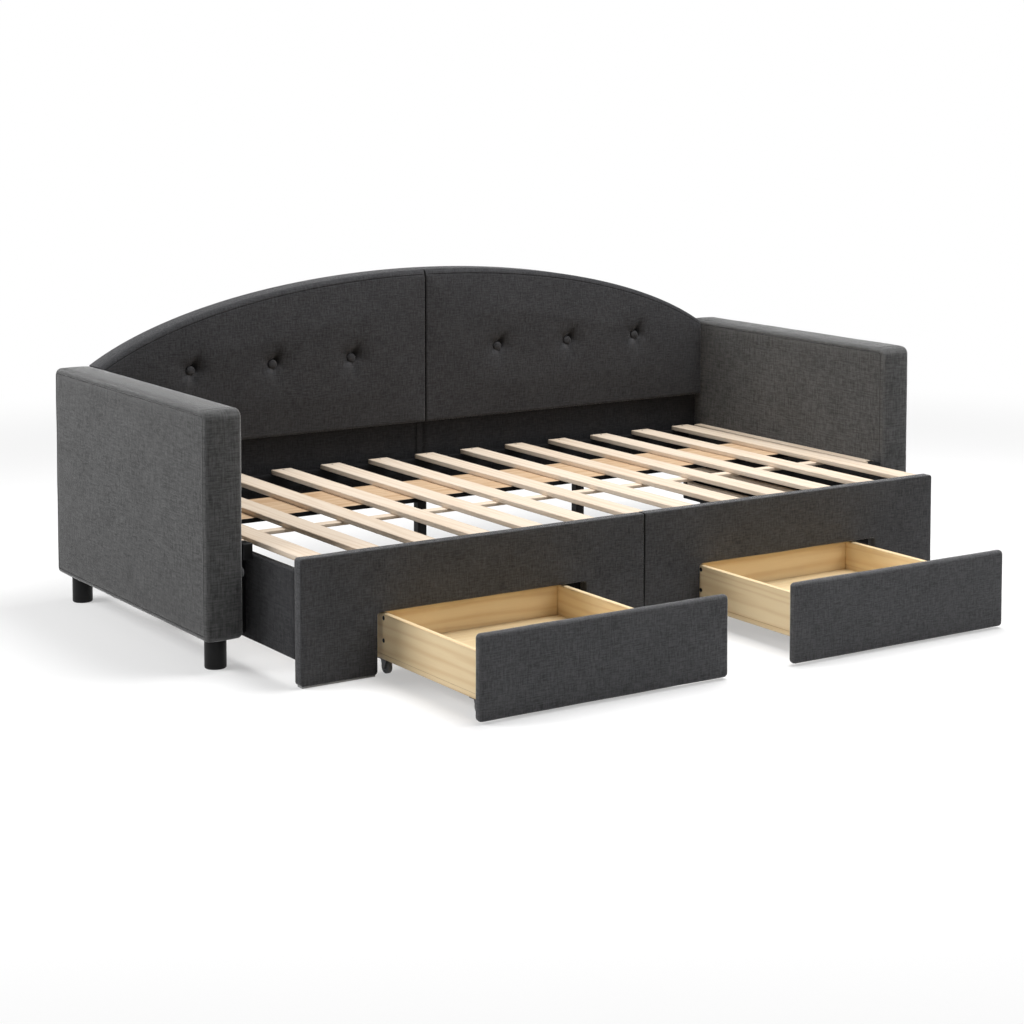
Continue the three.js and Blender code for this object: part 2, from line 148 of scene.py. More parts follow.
class Sock:
    """A node's output, on which Python's operators add Math nodes."""

    def __init__(self, recipe: "Recipe", socket: bpy.types.NodeSocket) -> None:
        """Wraps one output socket of a recipe's tree."""
        self.recipe = recipe
        self.socket = socket

    def __add__(self, other: "Sock | float") -> "Sock":
        """self + other."""
        return self.recipe.math("ADD", self, other)

    __radd__ = __add__

    def __mul__(self, other: "Sock | float") -> "Sock":
        """self * other."""
        return self.recipe.math("MULTIPLY", self, other)

    __rmul__ = __mul__

    def __sub__(self, other: "Sock | float") -> "Sock":
        """self - other."""
        return self.recipe.math("SUBTRACT", self, other)

    def __rsub__(self, other: "Sock | float") -> "Sock":
        """other - self."""
        return self.recipe.math("SUBTRACT", other, self)

    def __truediv__(self, other: "Sock | float") -> "Sock":
        """self / other."""
        return self.recipe.math("DIVIDE", self, other)

    def __pow__(self, other: "Sock | float") -> "Sock":
        """self to the power of other."""
        return self.recipe.math("POWER", self, other)

    def __gt__(self, other: "Sock | float") -> "Sock":
        """1 where self is greater than other, else 0."""
        return self.recipe.math("GREATER_THAN", self, other)

    def __abs__(self) -> "Sock":
        """self without its sign."""
        return self.recipe.math("ABSOLUTE", self)

    def sine(self) -> "Sock":
        """The sine of self, in radians."""
        return self.recipe.math("SINE", self)

    def larger(self, other: "Sock | float") -> "Sock":
        """The larger of self and other."""
        return self.recipe.math("MAXIMUM", self, other)

    def spread(self, low: float, high: float) -> "Sock":
        """Maps low to 0 and high to 1, and keeps what lies outside at the ends."""
        return self.recipe.node("ShaderNodeMapRange", {"interpolation_type": "SMOOTHSTEP"},
                                {"Value": self, "From Min": low, "From Max": high})

    def also(self, output: int | str) -> "Sock":
        """Another output of the same node."""
        return Sock(self.recipe, self.socket.node.outputs[output])


class Recipe:
    """The node tree of a material, or of the world, in the making."""

    def __init__(self, owner: bpy.types.Material | bpy.types.World,
                 output: str = "ShaderNodeOutputMaterial") -> None:
        """Starts with nothing but the tree's output.

        Args:
            owner: The material or world.
            output: The type of its output node.
        """
        owner.use_nodes = True
        self.owner = owner
        self.tree = owner.node_tree
        self.tree.nodes.clear()
        self.output = self.tree.nodes.new(output)

    def node(self, kind: str, settings: dict[str, Any] | None = None,
             inputs: dict[int | str, Any] | None = None, output: int | str = 0) -> Sock:
        """Adds one node.

        Args:
            kind: The node's type name.
            settings: Its properties, which are set first.
            inputs: Values or Socks for its input sockets, by name or number.
            output: The output that is wanted, by name or number.

        Returns:
            The wanted output.
        """
        made = self.tree.nodes.new(kind)
        for key, value in (settings or {}).items():
            setattr(made, key, value)
        for key, value in (inputs or {}).items():
            if isinstance(value, Sock):
                self.tree.links.new(value.socket, made.inputs[key])
            else:
                made.inputs[key].default_value = value
        return Sock(self, made.outputs[output])

    def surface(self, shader: Sock) -> None:
        """Gives the tree's output its shader."""
        self.tree.links.new(shader.socket, self.output.inputs["Surface"])

    def math(self, operation: str, *values: Sock | float) -> Sock:
        """Adds a Math node and returns its result."""
        return self.node("ShaderNodeMath", {"operation": operation}, dict(enumerate(values)))

    def coordinates(self, output: str) -> Sock:
        """One output of a Texture Coordinate node."""
        return self.node("ShaderNodeTexCoord", output=output)

    def mark(self, kind: Mark) -> Sock:
        """A mark's number, 0 where a piece doesn't have it."""
        return self.node("ShaderNodeAttribute", {"attribute_name": kind.value}, output="Fac")

    def split(self, vector: Sock) -> tuple[Sock, Sock, Sock]:
        """The three numbers of a vector."""
        first = self.node("ShaderNodeSeparateXYZ", None, {0: vector})
        return first, first.also(1), first.also(2)

    def stretch(self, vector: Sock, factors: Sequence[float]) -> Sock:
        """A vector times fixed factors, number by number."""
        return self.node("ShaderNodeVectorMath", {"operation": "MULTIPLY"}, {0: vector, 1: tuple(factors)})

    def noise(self, vector: Sock, scale: float, detail: float = 2.0, roughness: float = 0.5,
              distortion: float = 0.0) -> Sock:
        """A noise texture's number, 0 to 1 and near one half on average.

        Args:
            vector: Where the noise is read.
            scale: How many features there are to one unit of the vector.
            detail: The number of finer layers.
            roughness: The share of the finer layers.
            distortion: How far the noise is bent by itself.

        Returns:
            The noise's number.
        """
        return self.node("ShaderNodeTexNoise", {"noise_dimensions": "3D"},
                         {"Vector": vector, "Scale": scale, "Detail": detail, "Roughness": roughness,
                          "Distortion": distortion}, "Fac")

    def choose(self, factor: Sock, first: Sock, second: Sock) -> Sock:
        """The number first where factor is 0, and second where it is 1."""
        return self.node("ShaderNodeMix", {"data_type": "FLOAT"}, {0: factor, 2: first, 3: second})

    def tint(self, factor: Sock, first: Sock | Colour, second: Sock | Colour) -> Sock:
        """The colour first where factor is 0, and second where it is 1."""
        return self.node("ShaderNodeMix", {"data_type": "RGBA"}, {0: factor, 6: first, 7: second}, 2)

    def blend(self, factor: Sock, first: Sock, second: Sock) -> Sock:
        """The shader first where factor is 0, and second where it is 1."""
        return self.node("ShaderNodeMixShader", None, {0: factor, 1: first, 2: second})

    def seen_by(self, *rays: str) -> Sock:
        """Tells rays apart.

        Args:
            *rays: The names of the wanted kinds, as the Light Path node has them.

        Returns:
            1 for a ray of these kinds, else 0.
        """
        seen = path = self.node("ShaderNodeLightPath", output=rays[0])
        for ray in rays[1:]:
            seen = seen.larger(path.also(ray))
        return seen

    def relief(self, height: Sock, depth: float, strength: float) -> Sock:
        """The normal of a surface with a height of 0 to 1, worth depth metres."""
        return self.node("ShaderNodeBump", None, {"Strength": strength, "Distance": depth, "Height": height})

    def dress(self, colour: Sock, roughness: Sock, normal: Sock, **constants: float) -> Finish:
        """Adds the Principled shader and feeds it.

        Args:
            colour: The base colour.
            roughness: The roughness.
            normal: The normal.
            **constants: Values for other sockets of the shader, with _ for each space.

        Returns:
            The finished material.
        """
        plain = {key.replace("_", " "): value for key, value in constants.items()}
        self.surface(self.node("ShaderNodeBsdfPrincipled", None, {
            "Base Color": colour, "Roughness": roughness, "Normal": normal, **plain}))
        return self.owner

    def face_plane(self) -> tuple[Sock, Sock]:
        """Finds the two coordinates that lie in a face's own plane.

        Returns:
            Both coordinates in metres, the second one upwards.
        """
        along_x, along_y, along_z = self.split(self.coordinates("Object"))
        facing = [abs(part) for part in self.split(self.coordinates("Normal"))]
        faces_side = facing[0] > facing[1].larger(facing[2])
        faces_up = facing[2] > facing[0].larger(facing[1])
        return self.choose(faces_side, along_x, along_y), self.choose(faces_up, along_z, along_y)


# --- finishes


@dataclass(frozen=True)
class Linen:
    """A plain-woven linen-look cloth with slubs, soft mottle, rubbed edges and dark seams, and with the painted
    highlight and painted shade that its pieces' marks carry.
    """

    name: str
    dark: Colour
    light: Colour
    thread: float = 0.0011
    slub_length: float = 0.030
    slub_width: float = 0.0024
    thick_share: float = 0.34
    mottle: float = 0.11
    least_tone: float = 0.15
    slub_tone: float = 0.38
    thick_tone: float = 0.22
    over_tone: float = 0.08
    crown_tone: float = 0.12
    cloud_tone: float = 0.34
    seam_share: float = 0.25
    relief: float = 0.00055
    sheen: float = 0.9

    def build(self) -> Finish:
        """Makes the material: two crossed sets of slubs, thick places and the threads' own crowns.

        Returns:
            The material.
        """
        recipe = Recipe(bpy.data.materials.new(self.name))
        across, up = recipe.face_plane()
        flat = recipe.node("ShaderNodeCombineXYZ", None, {0: across, 1: up})
        long, fine = 1 / self.slub_length, 1 / self.slub_width
        weft = recipe.noise(recipe.stretch(flat, (long, fine, 1)), 1.0, 2.0, 0.6)
        warp = recipe.noise(recipe.stretch(flat, (fine, long, 1)), 1.0, 2.0, 0.6)
        slubs = (0.5 * weft + 0.5 * warp).spread(0.37, 0.63)
        coarse = (fine * self.thick_share, fine * self.thick_share, 1)
        thick = recipe.noise(recipe.stretch(flat, coarse), 1.0, 2.0, 0.7).spread(0.3, 0.7)
        clouds = recipe.noise(flat, 1 / self.mottle, 3.0, 0.55)
        turn = math.pi / self.thread
        wave = (across * turn).sine() * (up * turn).sine()
        crown, over = abs(wave), wave > 0.0
        tone = (self.least_tone + self.slub_tone * slubs + self.thick_tone * thick + self.over_tone * over
                + self.crown_tone * crown + self.cloud_tone * (clouds - 0.5))
        cloth = recipe.tint(tone, self.dark, self.light)
        # Lighter where the edges are rubbed, and painted highlight on the tufts' ridges.
        worn = recipe.tint(recipe.mark(Mark.WEAR) * (0.20 + 0.35 * slubs), cloth, self.light)
        # Darker at seams and joints, and painted shade in the tufts' creases, along the pads' joint and foot,
        # under the buttons and beside the join strip.
        shadow = (*(self.seam_share * channel for channel in self.dark[:3]), 1.0)
        seamed_and_shaded = recipe.tint(recipe.mark(Mark.SEAM) * 0.8, worn, shadow)
        normal = recipe.relief(0.5 * crown + 0.3 * slubs + 0.6 * thick, self.relief, 0.6)
        return recipe.dress(seamed_and_shaded, 0.98 - 0.16 * slubs, normal, Specular_IOR_Level=0.22,
                            Sheen_Weight=self.sheen, Sheen_Roughness=0.24)


@dataclass(frozen=True)
class Pine:
    """Planed pine with growth rings, fine pores, a few knots and darkened edges."""

    name: str
    grain: Axis
    pale: Colour
    ring: Colour
    knot: Colour
    ring_width: float = 0.009
    board_pitch: float = 0.148
    ring_share: float = 0.42
    pore_share: float = 0.20
    blotch_share: float = 0.45
    board_share: float = 0.22
    least_tone: float = 0.06
    wave: float = 46.0
    sharpness: float = 2.2
    relief: float = 0.00018
    knots: bool = True
    knot_share: float = 0.62
    knot_rarity: float = 0.72

    def build(self) -> Finish:
        """Makes the material.

        Returns:
            The material.
        """
        recipe = Recipe(bpy.data.materials.new(self.name))
        place = recipe.coordinates("Object")
        figure = recipe.noise(self._drawn(recipe, place, 0.06), 13.0, 3.0, 0.5, 0.4)
        parts = recipe.split(place)
        cross = [part for part, unit in zip(parts, self.grain.unit) if not unit]
        phase = (cross[0] + 0.7 * cross[1]) * (math.tau / self.ring_width * 0.35) + figure * self.wave
        rings = (0.5 + 0.5 * phase.sine()) ** self.sharpness
        pores = recipe.noise(self._drawn(recipe, place, 12.0, 1100.0), 1.0, 3.0, 0.7).spread(0.45, 0.78)
        number = recipe.math("FLOOR", parts[0] / self.board_pitch + 0.5)
        board = recipe.node("ShaderNodeTexWhiteNoise", {"noise_dimensions": "1D"}, {"W": number}, "Value")
        shade = (board - 0.5) * self.board_share
        blotch = recipe.noise(self._drawn(recipe, place, 0.3), 16.0, 2.0)
        tone = self.ring_share * rings + self.pore_share * pores + self.blotch_share * (blotch - 0.5)
        wood = recipe.tint(tone + shade + self.least_tone, self.pale, self.ring)
        if self.knots:
            wood = recipe.tint(self._knots(recipe, place), wood, self.knot)
        edged = recipe.tint(recipe.mark(Mark.WEAR) * (0.10 + 0.25 * pores), wood, self.knot)
        lined = recipe.tint(recipe.mark(Mark.SEAM) * 0.7, edged, self.knot)
        normal = recipe.relief(0.5 * rings + 0.6 * pores, self.relief, 0.7)
        return recipe.dress(lined, 0.52 + 0.12 * pores + 0.08 * rings, normal, Specular_IOR_Level=0.35)

    def _drawn(self, recipe: Recipe, place: Sock, along: float, across: float = 1.0) -> Sock:
        """The place times one factor along the grain and another one across it."""
        return recipe.stretch(place, [along if part else across for part in self.grain.unit])

    def _knots(self, recipe: Recipe, place: Sock) -> Sock:
        """Scatters oval knots, drawn out along the grain.

        Args:
            recipe: The material's recipe.
            place: The point's coordinates.

        Returns:
            How much of a knot there is at the point.
        """
        cells = recipe.node("ShaderNodeTexVoronoi", {"feature": "F1"},
                            {"Vector": self._drawn(recipe, place, 0.45), "Scale": 6.5}, "Distance")
        picked = recipe.split(cells.also("Color"))[0] > self.knot_rarity
        return (1.0 - cells.spread(0.015, 0.06)) * picked * self.knot_share


@dataclass(frozen=True)
class Lining:
    """Black non-woven cloth, dull and speckled."""

    name: str
    dark: Colour
    light: Colour
    fibres: float = 900.0
    dents: float = 24.0
    relief: float = 0.0004

    def build(self) -> Finish:
        """Makes the material.

        Returns:
            The material.
        """
        recipe = Recipe(bpy.data.materials.new(self.name))
        place = recipe.coordinates("Object")
        fibres = recipe.noise(place, self.fibres, 3.0, 0.7)
        dents = recipe.noise(place, self.dents, 2.0)
        colour = recipe.tint(fibres.spread(0.35, 0.75) * 0.6 + 0.2 * dents, self.dark, self.light)
        normal = recipe.relief(0.5 * fibres + 0.5 * dents, self.relief, 0.5)
        return recipe.dress(colour, 0.9 - 0.1 * fibres, normal, Specular_IOR_Level=0.15)


@dataclass(frozen=True)
class Moulded:
    """Moulded or painted hard stuff: fine grain, scuffs and paler worn edges."""

    name: str
    body: Colour
    worn: Colour
    gloss: float
    metal: float = 0.0
    shine: float = 0.5
    grain: float = 1400.0
    smears: float = 35.0
    scratches: tuple[float, float, float] = (220.0, 2400.0, 60.0)
    relief: float = 0.00012

    def build(self) -> Finish:
        """Makes the material.

        Returns:
            The material.
        """
        recipe = Recipe(bpy.data.materials.new(self.name))
        place = recipe.coordinates("Object")
        grain = recipe.noise(place, self.grain, 2.0, 0.6)
        smears = recipe.noise(place, self.smears, 4.0, 0.65)
        scratches = recipe.noise(recipe.stretch(place, self.scratches), 1.0, 2.0).spread(0.66, 0.76)
        wear = recipe.mark(Mark.WEAR) * smears.spread(0.35, 0.7) * 0.55
        colour = recipe.tint(wear + 0.25 * scratches + 0.12 * smears, self.body, self.worn)
        rough = self.gloss + 0.18 * smears + 0.10 * scratches + 0.06 * grain
        normal = recipe.relief(0.5 * grain + 0.5 * scratches, self.relief, 0.5)
        return recipe.dress(colour, rough, normal, Metallic=self.metal, Specular_IOR_Level=self.shine)


@dataclass(frozen=True)
class StudioWhite:
    """The studio floor: white to the camera, with the object's shadow on it, and grey paper to the light."""

    name: str = "studio_white"
    shade_share: float = 0.58
    paper: float = 0.60
    bright_paper: float = 0.98
    clear_from: float = 2.2
    clear_to: float = 4.2

    def build(self) -> Finish:
        """Makes the material.

        Returns:
            The material.
        """
        recipe = Recipe(bpy.data.materials.new(self.name))
        grey, bright = (recipe.node("ShaderNodeBsdfDiffuse", None, {"Color": (level, level, level, 1.0)})
                        for level in (self.paper, self.bright_paper))
        glow = recipe.node("ShaderNodeEmission", None, {"Color": WHITE, "Strength": 1.0})
        reach = recipe.node("ShaderNodeVectorMath", {"operation": "LENGTH"},
                            {0: recipe.coordinates("Object")}, "Value")
        far = reach.spread(self.clear_from, self.clear_to)
        shown = recipe.blend(1.0 - (1.0 - far) * self.shade_share, bright, glow)
        seen = recipe.seen_by("Is Camera Ray", "Is Glossy Ray", "Is Transmission Ray")
        recipe.surface(recipe.blend(seen, grey, shown))
        return recipe.owner


@dataclass(frozen=True)
class Finishes:
    """Every finished material of the object, by its use."""

    cloth: Finish
    panel_cloth: Finish
    arm_cloth: Finish
    pad_cloth: Finish
    shade_cloth: Finish
    side_cloth: Finish
    lining: Finish
    slat_pine: Finish
    cross_pine: Finish
    board_pine: Finish
    drawer_pine_deep: Finish
    drawer_pine_wide: Finish
    ply: Finish
    black: Finish
    steel: Finish
    tyre: Finish
    glide: Finish

    @classmethod
    def mix(cls) -> "Finishes":
        """Makes all the materials.

        Returns:
            The materials.
        """
        thick = {"slub_width": 0.0036, "slub_length": 0.042}
        slat = {"pale": paint(228, 212, 193), "ring": paint(205, 182, 156), "knot": paint(128, 100, 74)}
        drawer = {"pale": paint(245, 222, 180), "ring": paint(216, 178, 126), "knot": paint(158, 114, 70),
                  "ring_width": 0.006, "ring_share": 0.36, "wave": 24.0}
        one_board = {"board_pitch": 9.0}
        recipes = {
            "cloth": Linen("charcoal_linen", paint(47, 47, 48), paint(102, 102, 104)),
            # The panel, pad, lower and side copies of this linen are the same cloth made darker as painted
            # shade.
            "panel_cloth": Linen("charcoal_linen_panels", paint(35, 35, 36), paint(91, 91, 93), sheen=0.8),
            "arm_cloth": Linen("charcoal_linen_arms", paint(39, 39, 39), paint(104, 104, 104), sheen=1.0,
                               **thick),
            "pad_cloth": Linen("charcoal_linen_pads", paint(31, 31, 33), paint(72, 72, 74), sheen=0.35),
            "shade_cloth": Linen("charcoal_linen_lower", paint(23, 23, 25), paint(52, 52, 54), sheen=0.35),
            "side_cloth": Linen("charcoal_linen_sides", paint(24, 24, 26), paint(62, 62, 64), sheen=0.35,
                                **thick),
            "lining": Lining("black_lining", paint(14, 14, 15), paint(36, 36, 38)),
            "slat_pine": Pine("slat_pine_lengthwise", Axis.Y, **slat),
            "cross_pine": Pine("slat_pine_crosswise", Axis.X, **slat, **one_board, knots=False),
            "board_pine": Pine("board_pine_knotty", Axis.X, paint(206, 178, 146), paint(166, 128, 90),
                               paint(58, 40, 28), **one_board),
            "drawer_pine_deep": Pine("drawer_pine_lengthwise", Axis.Y, **drawer),
            "drawer_pine_wide": Pine("drawer_pine_crosswise", Axis.X, **drawer, **one_board),
            "ply": Pine("drawer_floor_ply", Axis.X, paint(236, 214, 172), paint(214, 184, 136),
                        paint(150, 112, 72), **one_board, ring_width=0.05, ring_share=0.25, knots=False),
            "black": Moulded("leg_black_satin", paint(7, 7, 8), paint(38, 38, 40), 0.38, shine=0.25),
            "steel": Moulded("castor_steel_black", paint(52, 53, 55), paint(168, 168, 170), 0.30, 0.6),
            "tyre": Moulded("castor_tyre_grey", paint(118, 119, 121), paint(176, 176, 176), 0.46),
            "glide": Moulded("glide_plastic_grey", paint(150, 150, 150), paint(196, 196, 196), 0.38),
        }
        return cls(**{use: recipe.build() for use, recipe in recipes.items()})


# --- shapes


@dataclass(frozen=True)
class Rounding:
    """The radius of a rounded edge, and the number of steps that it is made in."""

    radius: float
    steps: int


@dataclass(frozen=True)
class Easing:
    """How a board's edges are rounded, and how wide the worn band beside them is."""

    rounding: Rounding
    band: float


TIMBER = Easing(Rounding(0.0014, 2), 0.003)
SOFT_TIMBER = Easing(Rounding(0.0020, 3), 0.0035)
THIN = Easing(Rounding(0.0006, 2), 0.0012)
SHEET = Easing(Rounding(0.0003, 1), 0.002)


def block(low: Vector, high: Vector) -> Shape:
    """Makes a box.

    Args:
        low: Its lowest corner.
        high: Its highest corner.

    Returns:
        The box.
    """
    shape = bmesh.new()
    bmesh.ops.create_cube(shape, size=1.0)
    bmesh.ops.scale(shape, vec=high - low, verts=shape.verts)
    bmesh.ops.translate(shape, vec=(low + high) / 2, verts=shape.verts)
    return shape


def round_edges(shape: Shape, edges: Iterable[Edge], rounding: Rounding) -> None:
    """Rounds some of a shape's edges."""
    bmesh.ops.bevel(shape, geom=list(edges), offset=rounding.radius, offset_type="OFFSET", affect="EDGES",
                    segments=rounding.steps, profile=0.5, material=-1, clamp_overlap=True)


def sharp_edges(shape: Shape, least: float = math.radians(40)) -> list[Edge]:
    """The edges at which two faces meet at more than an angle."""
    return [edge for edge in shape.edges
            if len(edge.link_faces) == 2 and edge.calc_face_angle(0.0) > least]


def round_half(shape: Shape, near: float, others: Rounding, joint: Rounding) -> None:
    """Rounds the sharp edges of one half of a piece that is joined at x = 0.

    Args:
        shape: The half.
        near: An edge whose ends lie nearer to x = 0 than this is at the joint.
        others: How the edges away from the joint are rounded.
        joint: How the edges at the joint are rounded.
    """
    def at_joint(edge: Edge) -> bool:
        """Whether an edge is at the joint."""
        return all(abs(vert.co.x) < near for vert in edge.verts)

    round_edges(shape, [edge for edge in sharp_edges(shape) if not at_joint(edge)], others)
    round_edges(shape, [edge for edge in sharp_edges(shape) if at_joint(edge)], joint)


def edges_along(shape: Shape, axis: Axis, wanted: Callable[[Vector], bool]) -> list[Edge]:
    """Finds edges that run along an axis.

    Args:
        shape: The shape.
        axis: The axis.
        wanted: Says of an edge's middle whether the edge is wanted.

    Returns:
        The edges.
    """
    found = []
    for edge in shape.edges:
        start, end = (vert.co for vert in edge.verts)
        if abs((end - start).normalized()[axis.value]) > ALONG and wanted((start + end) / 2):
            found.append(edge)
    return found


def slice_along(shape: Shape, axis: Axis, places: Iterable[float]) -> None:
    """Cuts a shape's faces at planes square to an axis, and keeps both sides.

    Args:
        shape: The shape.
        axis: The axis.
        places: Where on the axis the planes lie.
    """
    for place in places:
        everything = [*shape.verts, *shape.edges, *shape.faces]
        bmesh.ops.bisect_plane(shape, geom=everything, dist=SAME_POINT, plane_co=axis.unit * place,
                               plane_no=axis.unit)


def evenly(low: float, high: float, spacing: float) -> list[float]:
    """Places between two ends, evenly spaced and no further apart than spacing."""
    count = max(1, math.ceil((high - low) / spacing))
    return [low + (high - low) * step / count for step in range(1, count)]


def span_of(shape: Shape) -> tuple[Vector, Vector]:
    """A shape's lowest and highest corner."""
    return tuple(Vector([pick(vert.co[axis] for vert in shape.verts) for axis in range(3)])
                 for pick in (min, max))


def cut_grid(shape: Shape, axes: Iterable[Axis], margin: float, pitch: float) -> None:
    """Cuts a board's faces into a grid.

    Args:
        shape: The board.
        axes: The axes that the cuts are square to.
        margin: How far inside the board's ends the grid starts.
        pitch: The widest distance between two cuts.
    """
    low, high = span_of(shape)
    for axis in axes:
        start, end = low[axis.value] + margin, high[axis.value] - margin
        slice_along(shape, axis, (start, end, *evenly(start, end, pitch)))


def layer_of(shape: Shape, kind: Mark) -> bmesh.types.BMLayerItem:
    """The layer that holds a mark, added to the shape if it isn't there."""
    return shape.verts.layers.float.get(kind.value) or shape.verts.layers.float.new(kind.value)


def mark_points(shape: Shape, kind: Mark, worth: Callable[[Vert], float]) -> None:
    """Gives every point of a shape its mark.

    Args:
        shape: The shape.
        kind: The mark.
        worth: Gives a point's number.
    """
    layer = layer_of(shape, kind)
    for vert in shape.verts:
        vert[layer] = worth(vert)


def mark_bands(shape: Shape, band: float, least: float = 0.0035, most: float = 0.3) -> None:
    """Insets every large flat face and marks what lies outside the inset as worn.

    Args:
        shape: The shape, with its edges already rounded.
        band: The width of the band beside each edge, in metres.
        least: The narrowest face that gets a band, in metres.
        most: The largest share of a face's width that its band takes up.
    """
    def width(face: bmesh.types.BMFace) -> float:
        """The length of a face's shortest edge."""
        return min(edge.calc_length() for edge in face.edges)

    mark_points(shape, Mark.WEAR, lambda vert: 1.0)
    wear = layer_of(shape, Mark.WEAR)
    for face in [face for face in shape.faces if width(face) > least]:
        bmesh.ops.inset_individual(shape, faces=[face], thickness=min(band, most * width(face)),
                                   use_even_offset=True)
        for vert in face.verts:
            vert[wear] = 0.0


def mark_turns(shape: Shape, straight: float = 0.97) -> None:
    """Marks the points of rounded edges as worn: those whose normals lie along no axis."""
    shape.normal_update()
    mark_points(shape, Mark.WEAR, lambda vert: float(max(abs(part) for part in vert.normal) < straight))


def eased_board(low: Vector, high: Vector, easing: Easing = TIMBER) -> Shape:
    """Makes a board with rounded edges and worn bands beside them.

    Args:
        low: Its lowest corner.
        high: Its highest corner.
        easing: How its edges are made.

    Returns:
        The board.
    """
    shape = block(low, high)
    round_edges(shape, shape.edges, easing.rounding)
    mark_bands(shape, easing.band)
    return shape


def plank(across: Span, along: Span, up: Span, easing: Easing = TIMBER) -> Shape:
    """A board like an eased one, between two places on each of the axes X, Y and Z."""
    low, high = (Vector(corner) for corner in zip(across, along, up))
    return eased_board(low, high, easing)


def roughen(shape: Shape, amount: float, scale: float, seed: float) -> None:
    """Moves each point along its normal by a smooth noise.

    Args:
        shape: The shape.
        amount: The furthest move, in metres.
        scale: How many waves there are to a metre.
        seed: Where in the noise the shape lies.
    """
    shape.normal_update()
    for vert in shape.verts:
        vert.co += vert.normal * amount * noise.noise(vert.co * scale + Vector((seed, seed, seed)))


def swell(shape: Shape, axis: Axis, amount: float, power: float) -> None:
    """Crowns the faces that look along an axis, most in the middle and nothing at the rim.

    Args:
        shape: The shape.
        axis: The axis that the faces look along.
        amount: The crown's height, in metres.
        power: How flat the crown is: a higher one is flatter and falls faster at the rim.
    """
    shape.normal_update()
    low, high = span_of(shape)
    others = [other.value for other in Axis if other is not axis]
    for vert in shape.verts:
        lean = vert.normal[axis.value]
        if abs(lean) < 0.5:
            continue
        share = 1.0
        for other in others:
            place = 2 * (vert.co[other] - low[other]) / (high[other] - low[other]) - 1
            share *= max(0.0, 1 - abs(place) ** power)
        vert.co[axis.value] += math.copysign(amount * share, lean)


def press_line(shape: Shape, axis: Axis, place: float, wanted: Callable[[Vector], bool], depth: float,
               width: float) -> None:
    """Presses a fine seam into a surface, across an axis.

    Args:
        shape: The shape.
        axis: The axis that the seam is square to.
        place: Where on the axis the seam lies.
        wanted: Says which points of the seam's middle are pressed in.
        depth: How deep the seam is.
        width: The distance from the seam's middle to its rim.
    """
    slice_along(shape, axis, (place - width, place, place + width))
    seam = layer_of(shape, Mark.SEAM)
    shape.normal_update()
    for vert in shape.verts:
        if abs(vert.co[axis.value] - place) < width / 4 and wanted(vert.co):
            vert.co -= vert.normal * depth
            vert[seam] = 1.0


def scaled(outline: Outline, radius: float, length: float = 1.0) -> list[tuple[float, float]]:
    """An outline whose points are shares of a radius and of a length."""
    return [(radius * across, length * along) for across, along in outline]


def turned(outline: Outline, axis: Axis, centre: Vector, steps: int, ring: bool = False) -> Shape:
    """Turns a round piece from an outline.

    Args:
        outline: Radius and place along the axis of each point, from one end to the other.
        axis: The axis that the piece is turned about.
        centre: The point of the axis that the places count from.
        steps: The number of facets round the piece.
        ring: Whether the piece has a bore. Its outline closes on itself, and else it ends on the axis.

    Returns:
        The closed shape.
    """
    shape = bmesh.new()
    outward = (Axis.Z if axis is Axis.X else Axis.X).unit
    points = [shape.verts.new(centre + outward * radius + axis.unit * place) for radius, place in outline]
    ends = points[1:] + points[:1] if ring else points[1:]
    edges = [shape.edges.new(pair) for pair in zip(points, ends)]
    bmesh.ops.spin(shape, geom=[*points, *edges], cent=centre, axis=axis.unit, angle=math.tau, steps=steps,
                   use_merge=True)
    bmesh.ops.remove_doubles(shape, verts=shape.verts, dist=SAME_POINT)
    bmesh.ops.recalc_face_normals(shape, faces=shape.faces)
    return shape


def arched_sheet(columns: Sequence[float], rows: int, place: Callable[[float, int], Vector]) -> Shape:
    """Makes a sheet of faces whose columns stand at given places and whose rows are put by a function.

    Args:
        columns: The places of the columns, in order.
        rows: The number of rows of points.
        place: Gives the point of a column's place and a row's number.

    Returns:
        The open sheet.
    """
    shape = bmesh.new()
    bmesh.ops.create_grid(shape, x_segments=len(columns) - 1, y_segments=rows - 1, size=0.5)
    for vert in shape.verts:
        column = round((vert.co.x + 0.5) * (len(columns) - 1))
        row = round((vert.co.y + 0.5) * (rows - 1))
        vert.co = place(columns[column], row)
    return shape


def thicken_back(shape: Shape, rear: float) -> None:
    """Closes a sheet that faces the front with a wall and a flat rear.

    Args:
        shape: The sheet.
        rear: Where the rear lies.
    """
    made = bmesh.ops.extrude_face_region(shape, geom=list(shape.faces))
    for item in made["geom"]:
        if isinstance(item, Vert):
            item.co.y = rear
    bmesh.ops.recalc_face_normals(shape, faces=shape.faces)


def joined(shapes: Iterable[Shape]) -> Shape:
    """Puts several shapes in one.

    Args:
        shapes: The shapes, which are used up.

    Returns:
        The one shape.
    """
    whole = bmesh.new()
    for shape in shapes:
        mesh = bpy.data.meshes.new("part")
        shape.to_mesh(mesh)
        shape.free()
        whole.from_mesh(mesh)
        bpy.data.meshes.remove(mesh)
    return whole


# --- pieces


@dataclass(frozen=True)
class Role:
    """What a piece is on the object: its body, its material slot and the CAD nodes that it stands for."""

    body: str
    slot: Slot
    stands_for: tuple[str, ...] = ()


def as_object(name: str, shape: Shape, finish: Finish) -> bpy.types.Object:
    """Makes an object of a shape.

    Args:
        name: The object's name.
        shape: Its shape, which is used up.
        finish: Its material.

    Returns:
        The new object, at the origin.
    """
    mesh = bpy.data.meshes.new(name)
    shape.to_mesh(mesh)
    shape.free()
    mesh.materials.append(finish)
    made = bpy.data.objects.new(name, mesh)
    bpy.context.scene.collection.objects.link(made)
    return made


